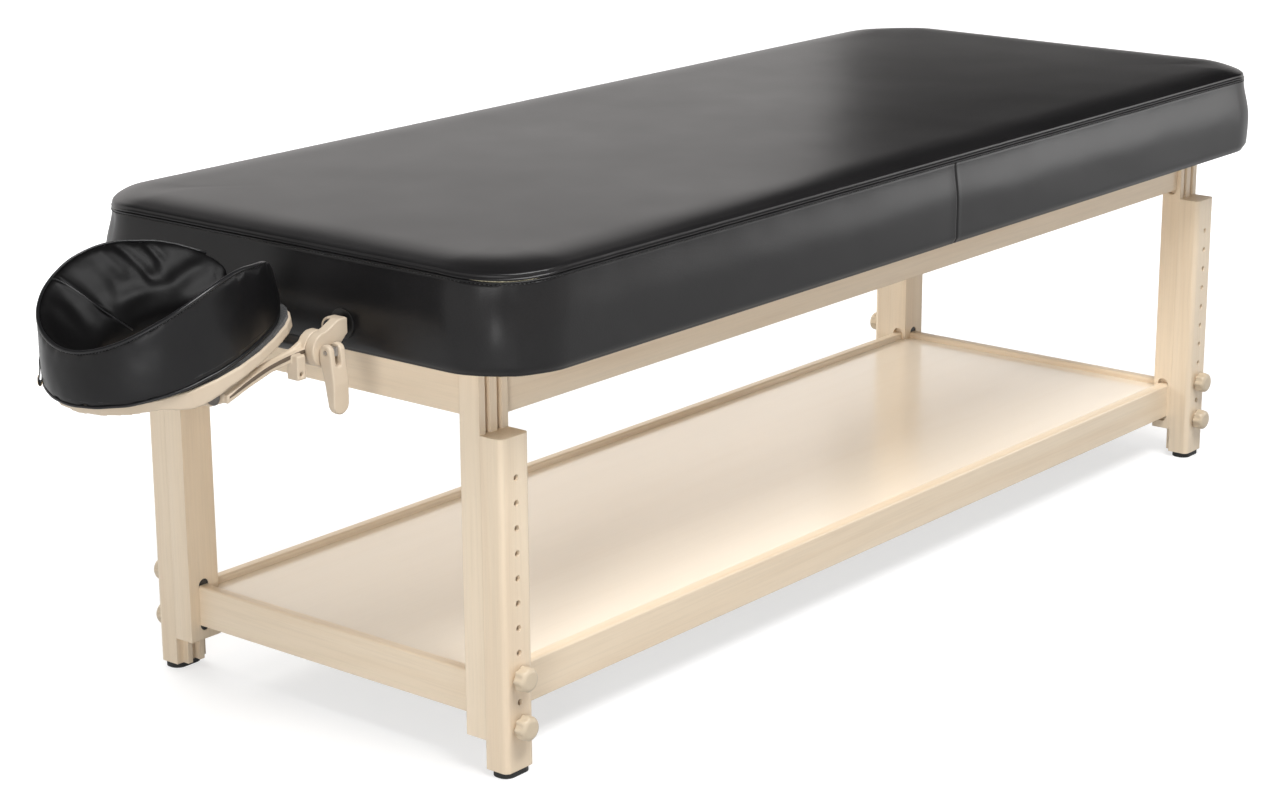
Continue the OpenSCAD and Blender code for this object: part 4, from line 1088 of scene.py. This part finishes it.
corners = [(sx * FLOOR_HALF, sy * FLOOR_HALF, 0) for sx, sy in ((-1, -1), (1, -1), (1, 1), (-1, 1))]
floor = mesh_object("floor", corners, [(0, 1, 2, 3)], floor_material(), False)
floor.location = (OX, 0, FLOOR_Z)

# ---------------------------------------------------------------- world
# White to the camera. Its light is dim, and stronger from behind and below. In gloss a
# white cove fades to a dim ceiling.
BASE_LIGHT = 0.22
COVE_TINT = (1, 0.97, 0.95)
world = bpy.data.worlds.new("studio")
bpy.context.scene.world = world
world.use_nodes = True
wt = world.node_tree
wt.nodes.clear()
w_path = wt.nodes.new("ShaderNodeLightPath")
w_axes = wt.nodes.new("ShaderNodeSeparateXYZ")
wt.links.new(wt.nodes.new("ShaderNodeTexCoord").outputs["Generated"], w_axes.inputs[0])


def w_range(axis, low, high, at_low, at_high):
    """A smooth change along an axis of the direction."""
    n = wt.nodes.new("ShaderNodeMapRange")
    n.interpolation_type = "SMOOTHSTEP"
    set_range(n, low, high, at_low, at_high)
    wt.links.new(w_axes.outputs["XYZ".index(axis)], n.inputs[0])
    return n.outputs[0]


def w_math(kind, a, b):
    n = wt.nodes.new("ShaderNodeMath")
    n.operation = kind
    for i, v in enumerate((a, b)):
        if isinstance(v, float):
            n.inputs[i].default_value = v
        else:
            wt.links.new(v, n.inputs[i])
    return n.outputs[0]


def w_background(colour, strength):
    n = wt.nodes.new("ShaderNodeBackground")
    n.inputs[0].default_value = (*colour, 1)
    if isinstance(strength, float):
        n.inputs[1].default_value = strength
    else:
        wt.links.new(strength, n.inputs[1])
    return n.outputs[0]


def w_mix(share, a, b):
    n = wt.nodes.new("ShaderNodeMixShader")
    for i, v in enumerate((share, a, b)):
        wt.links.new(v, n.inputs[i])
    return n.outputs[0]


from_back = w_range("Y", -0.1, 0.6, 0.0, 1.1)
from_below = w_range("Z", 0.32, 0.65, 1.0, 0.15)
lit = w_background(WHITE, w_math("ADD", w_math("MULTIPLY", from_back, from_below), BASE_LIGHT))
cove = w_background(COVE_TINT, w_range("Z", 0.25, 0.44, 1.0, 0.07))
plain = w_background(WHITE, 1.0)
in_gloss = w_math("MAXIMUM", w_path.outputs["Is Glossy Ray"], w_path.outputs["Is Transmission Ray"])
whole = w_mix(w_path.outputs["Is Camera Ray"], w_mix(in_gloss, lit, cove), plain)
wt.links.new(whole, wt.nodes.new("ShaderNodeOutputWorld").inputs[0])

# ---------------------------------------------------------------- lamps
# name, place, aim, size, watts, whether reflections see it
LAMPS = [("key", (-0.6, -2.3, 4.2), (0.0, 0, 0.35), (2.4, 1.6), 190, True),
         ("side", (-4.8, -2.4, 1.05), (-0.7, -0.1, 0.45), (1.0, 1.9), 82, False),
         ("fill", (3.6, -2.5, 0.75), (0.3, 0, 0.5), (1.2, 1.2), 17, True),
         ("strip", (-2.8, -1.8, 0.45), (-0.93, -0.36, 0.5), (1.1, 0.85), 9, True),
         ("back", (0.2, 3.0, 3.4), (0.1, 0, 0.4), (3.0, 1.2), 26, False),
         ("under", (0.5, 3.0, 1.5), (0.1, 0, 0.2), (2.2, 0.5), 70, False)]

for name, spot, aim, size, watts, mirrored in LAMPS:
    lamp = bpy.data.lights.new(name, "AREA")
    lamp.shape = "RECTANGLE"
    lamp.size, lamp.size_y = size
    lamp.energy = watts
    o = bpy.data.objects.new(name, lamp)
    bpy.context.scene.collection.objects.link(o)
    o.location = spot
    o.rotation_euler = (Vector(aim) - Vector(spot)).to_track_quat("-Z", "Y").to_euler()
    o.visible_glossy = mirrored

# a black flag behind the foot end, which only reflections see
FLAG_X, FLAG_Y, FLAG_Z = (4.94, 2.55), (-1.96, 1.63), (0.95, 2.6)
flag_corners = [(FLAG_X[i], FLAG_Y[i], FLAG_Z[j]) for i, j in ((0, 0), (1, 0), (1, 1), (0, 1))]
flag = mesh_object("flag", flag_corners, [(0, 1, 2, 3)], matt("flag_black", 0.01)[0], False)
flag.location.x = OX
flag.visible_camera = flag.visible_diffuse = flag.visible_shadow = False

# ---------------------------------------------------------------- camera
# fitted to the photograph: degrees, metres, and pixels of its frame
AZIMUTH, ELEVATION, CAM_ROLL = -50.662, 16.141, -0.313
DISTANCE, AIM_ACROSS, AIM_Z = 4.295208, -0.143683, 0.233458
FOCAL_PX, FRAME_PX, SENSOR = 2868.362, 1280, 36.0


def aim_camera():
    a, e, r = (math.radians(v) for v in (AZIMUTH, ELEVATION, CAM_ROLL))
    back = Vector((math.sin(a) * math.cos(e), -math.cos(a) * math.cos(e), math.sin(e)))
    right = Vector((math.cos(a), math.sin(a), 0))
    up = back.cross(right)
    right, up = (right * math.cos(r) + up * math.sin(r), up * math.cos(r) - right * math.sin(r))
    target = Vector((AIM_ACROSS * math.cos(a) + OX, AIM_ACROSS * math.sin(a), AIM_Z))
    cam = bpy.data.cameras.new("camera")
    cam.sensor_width = SENSOR
    cam.lens = FOCAL_PX / FRAME_PX * SENSOR
    cam.clip_end = 100
    o = bpy.data.objects.new("camera", cam)
    bpy.context.scene.collection.objects.link(o)
    m = Matrix((right, up, back)).transposed().to_4x4()
    m.translation = target + back * DISTANCE
    o.matrix_world = m
    bpy.context.scene.camera = o


aim_camera()
bpy.context.scene.view_settings.view_transform = "Standard"
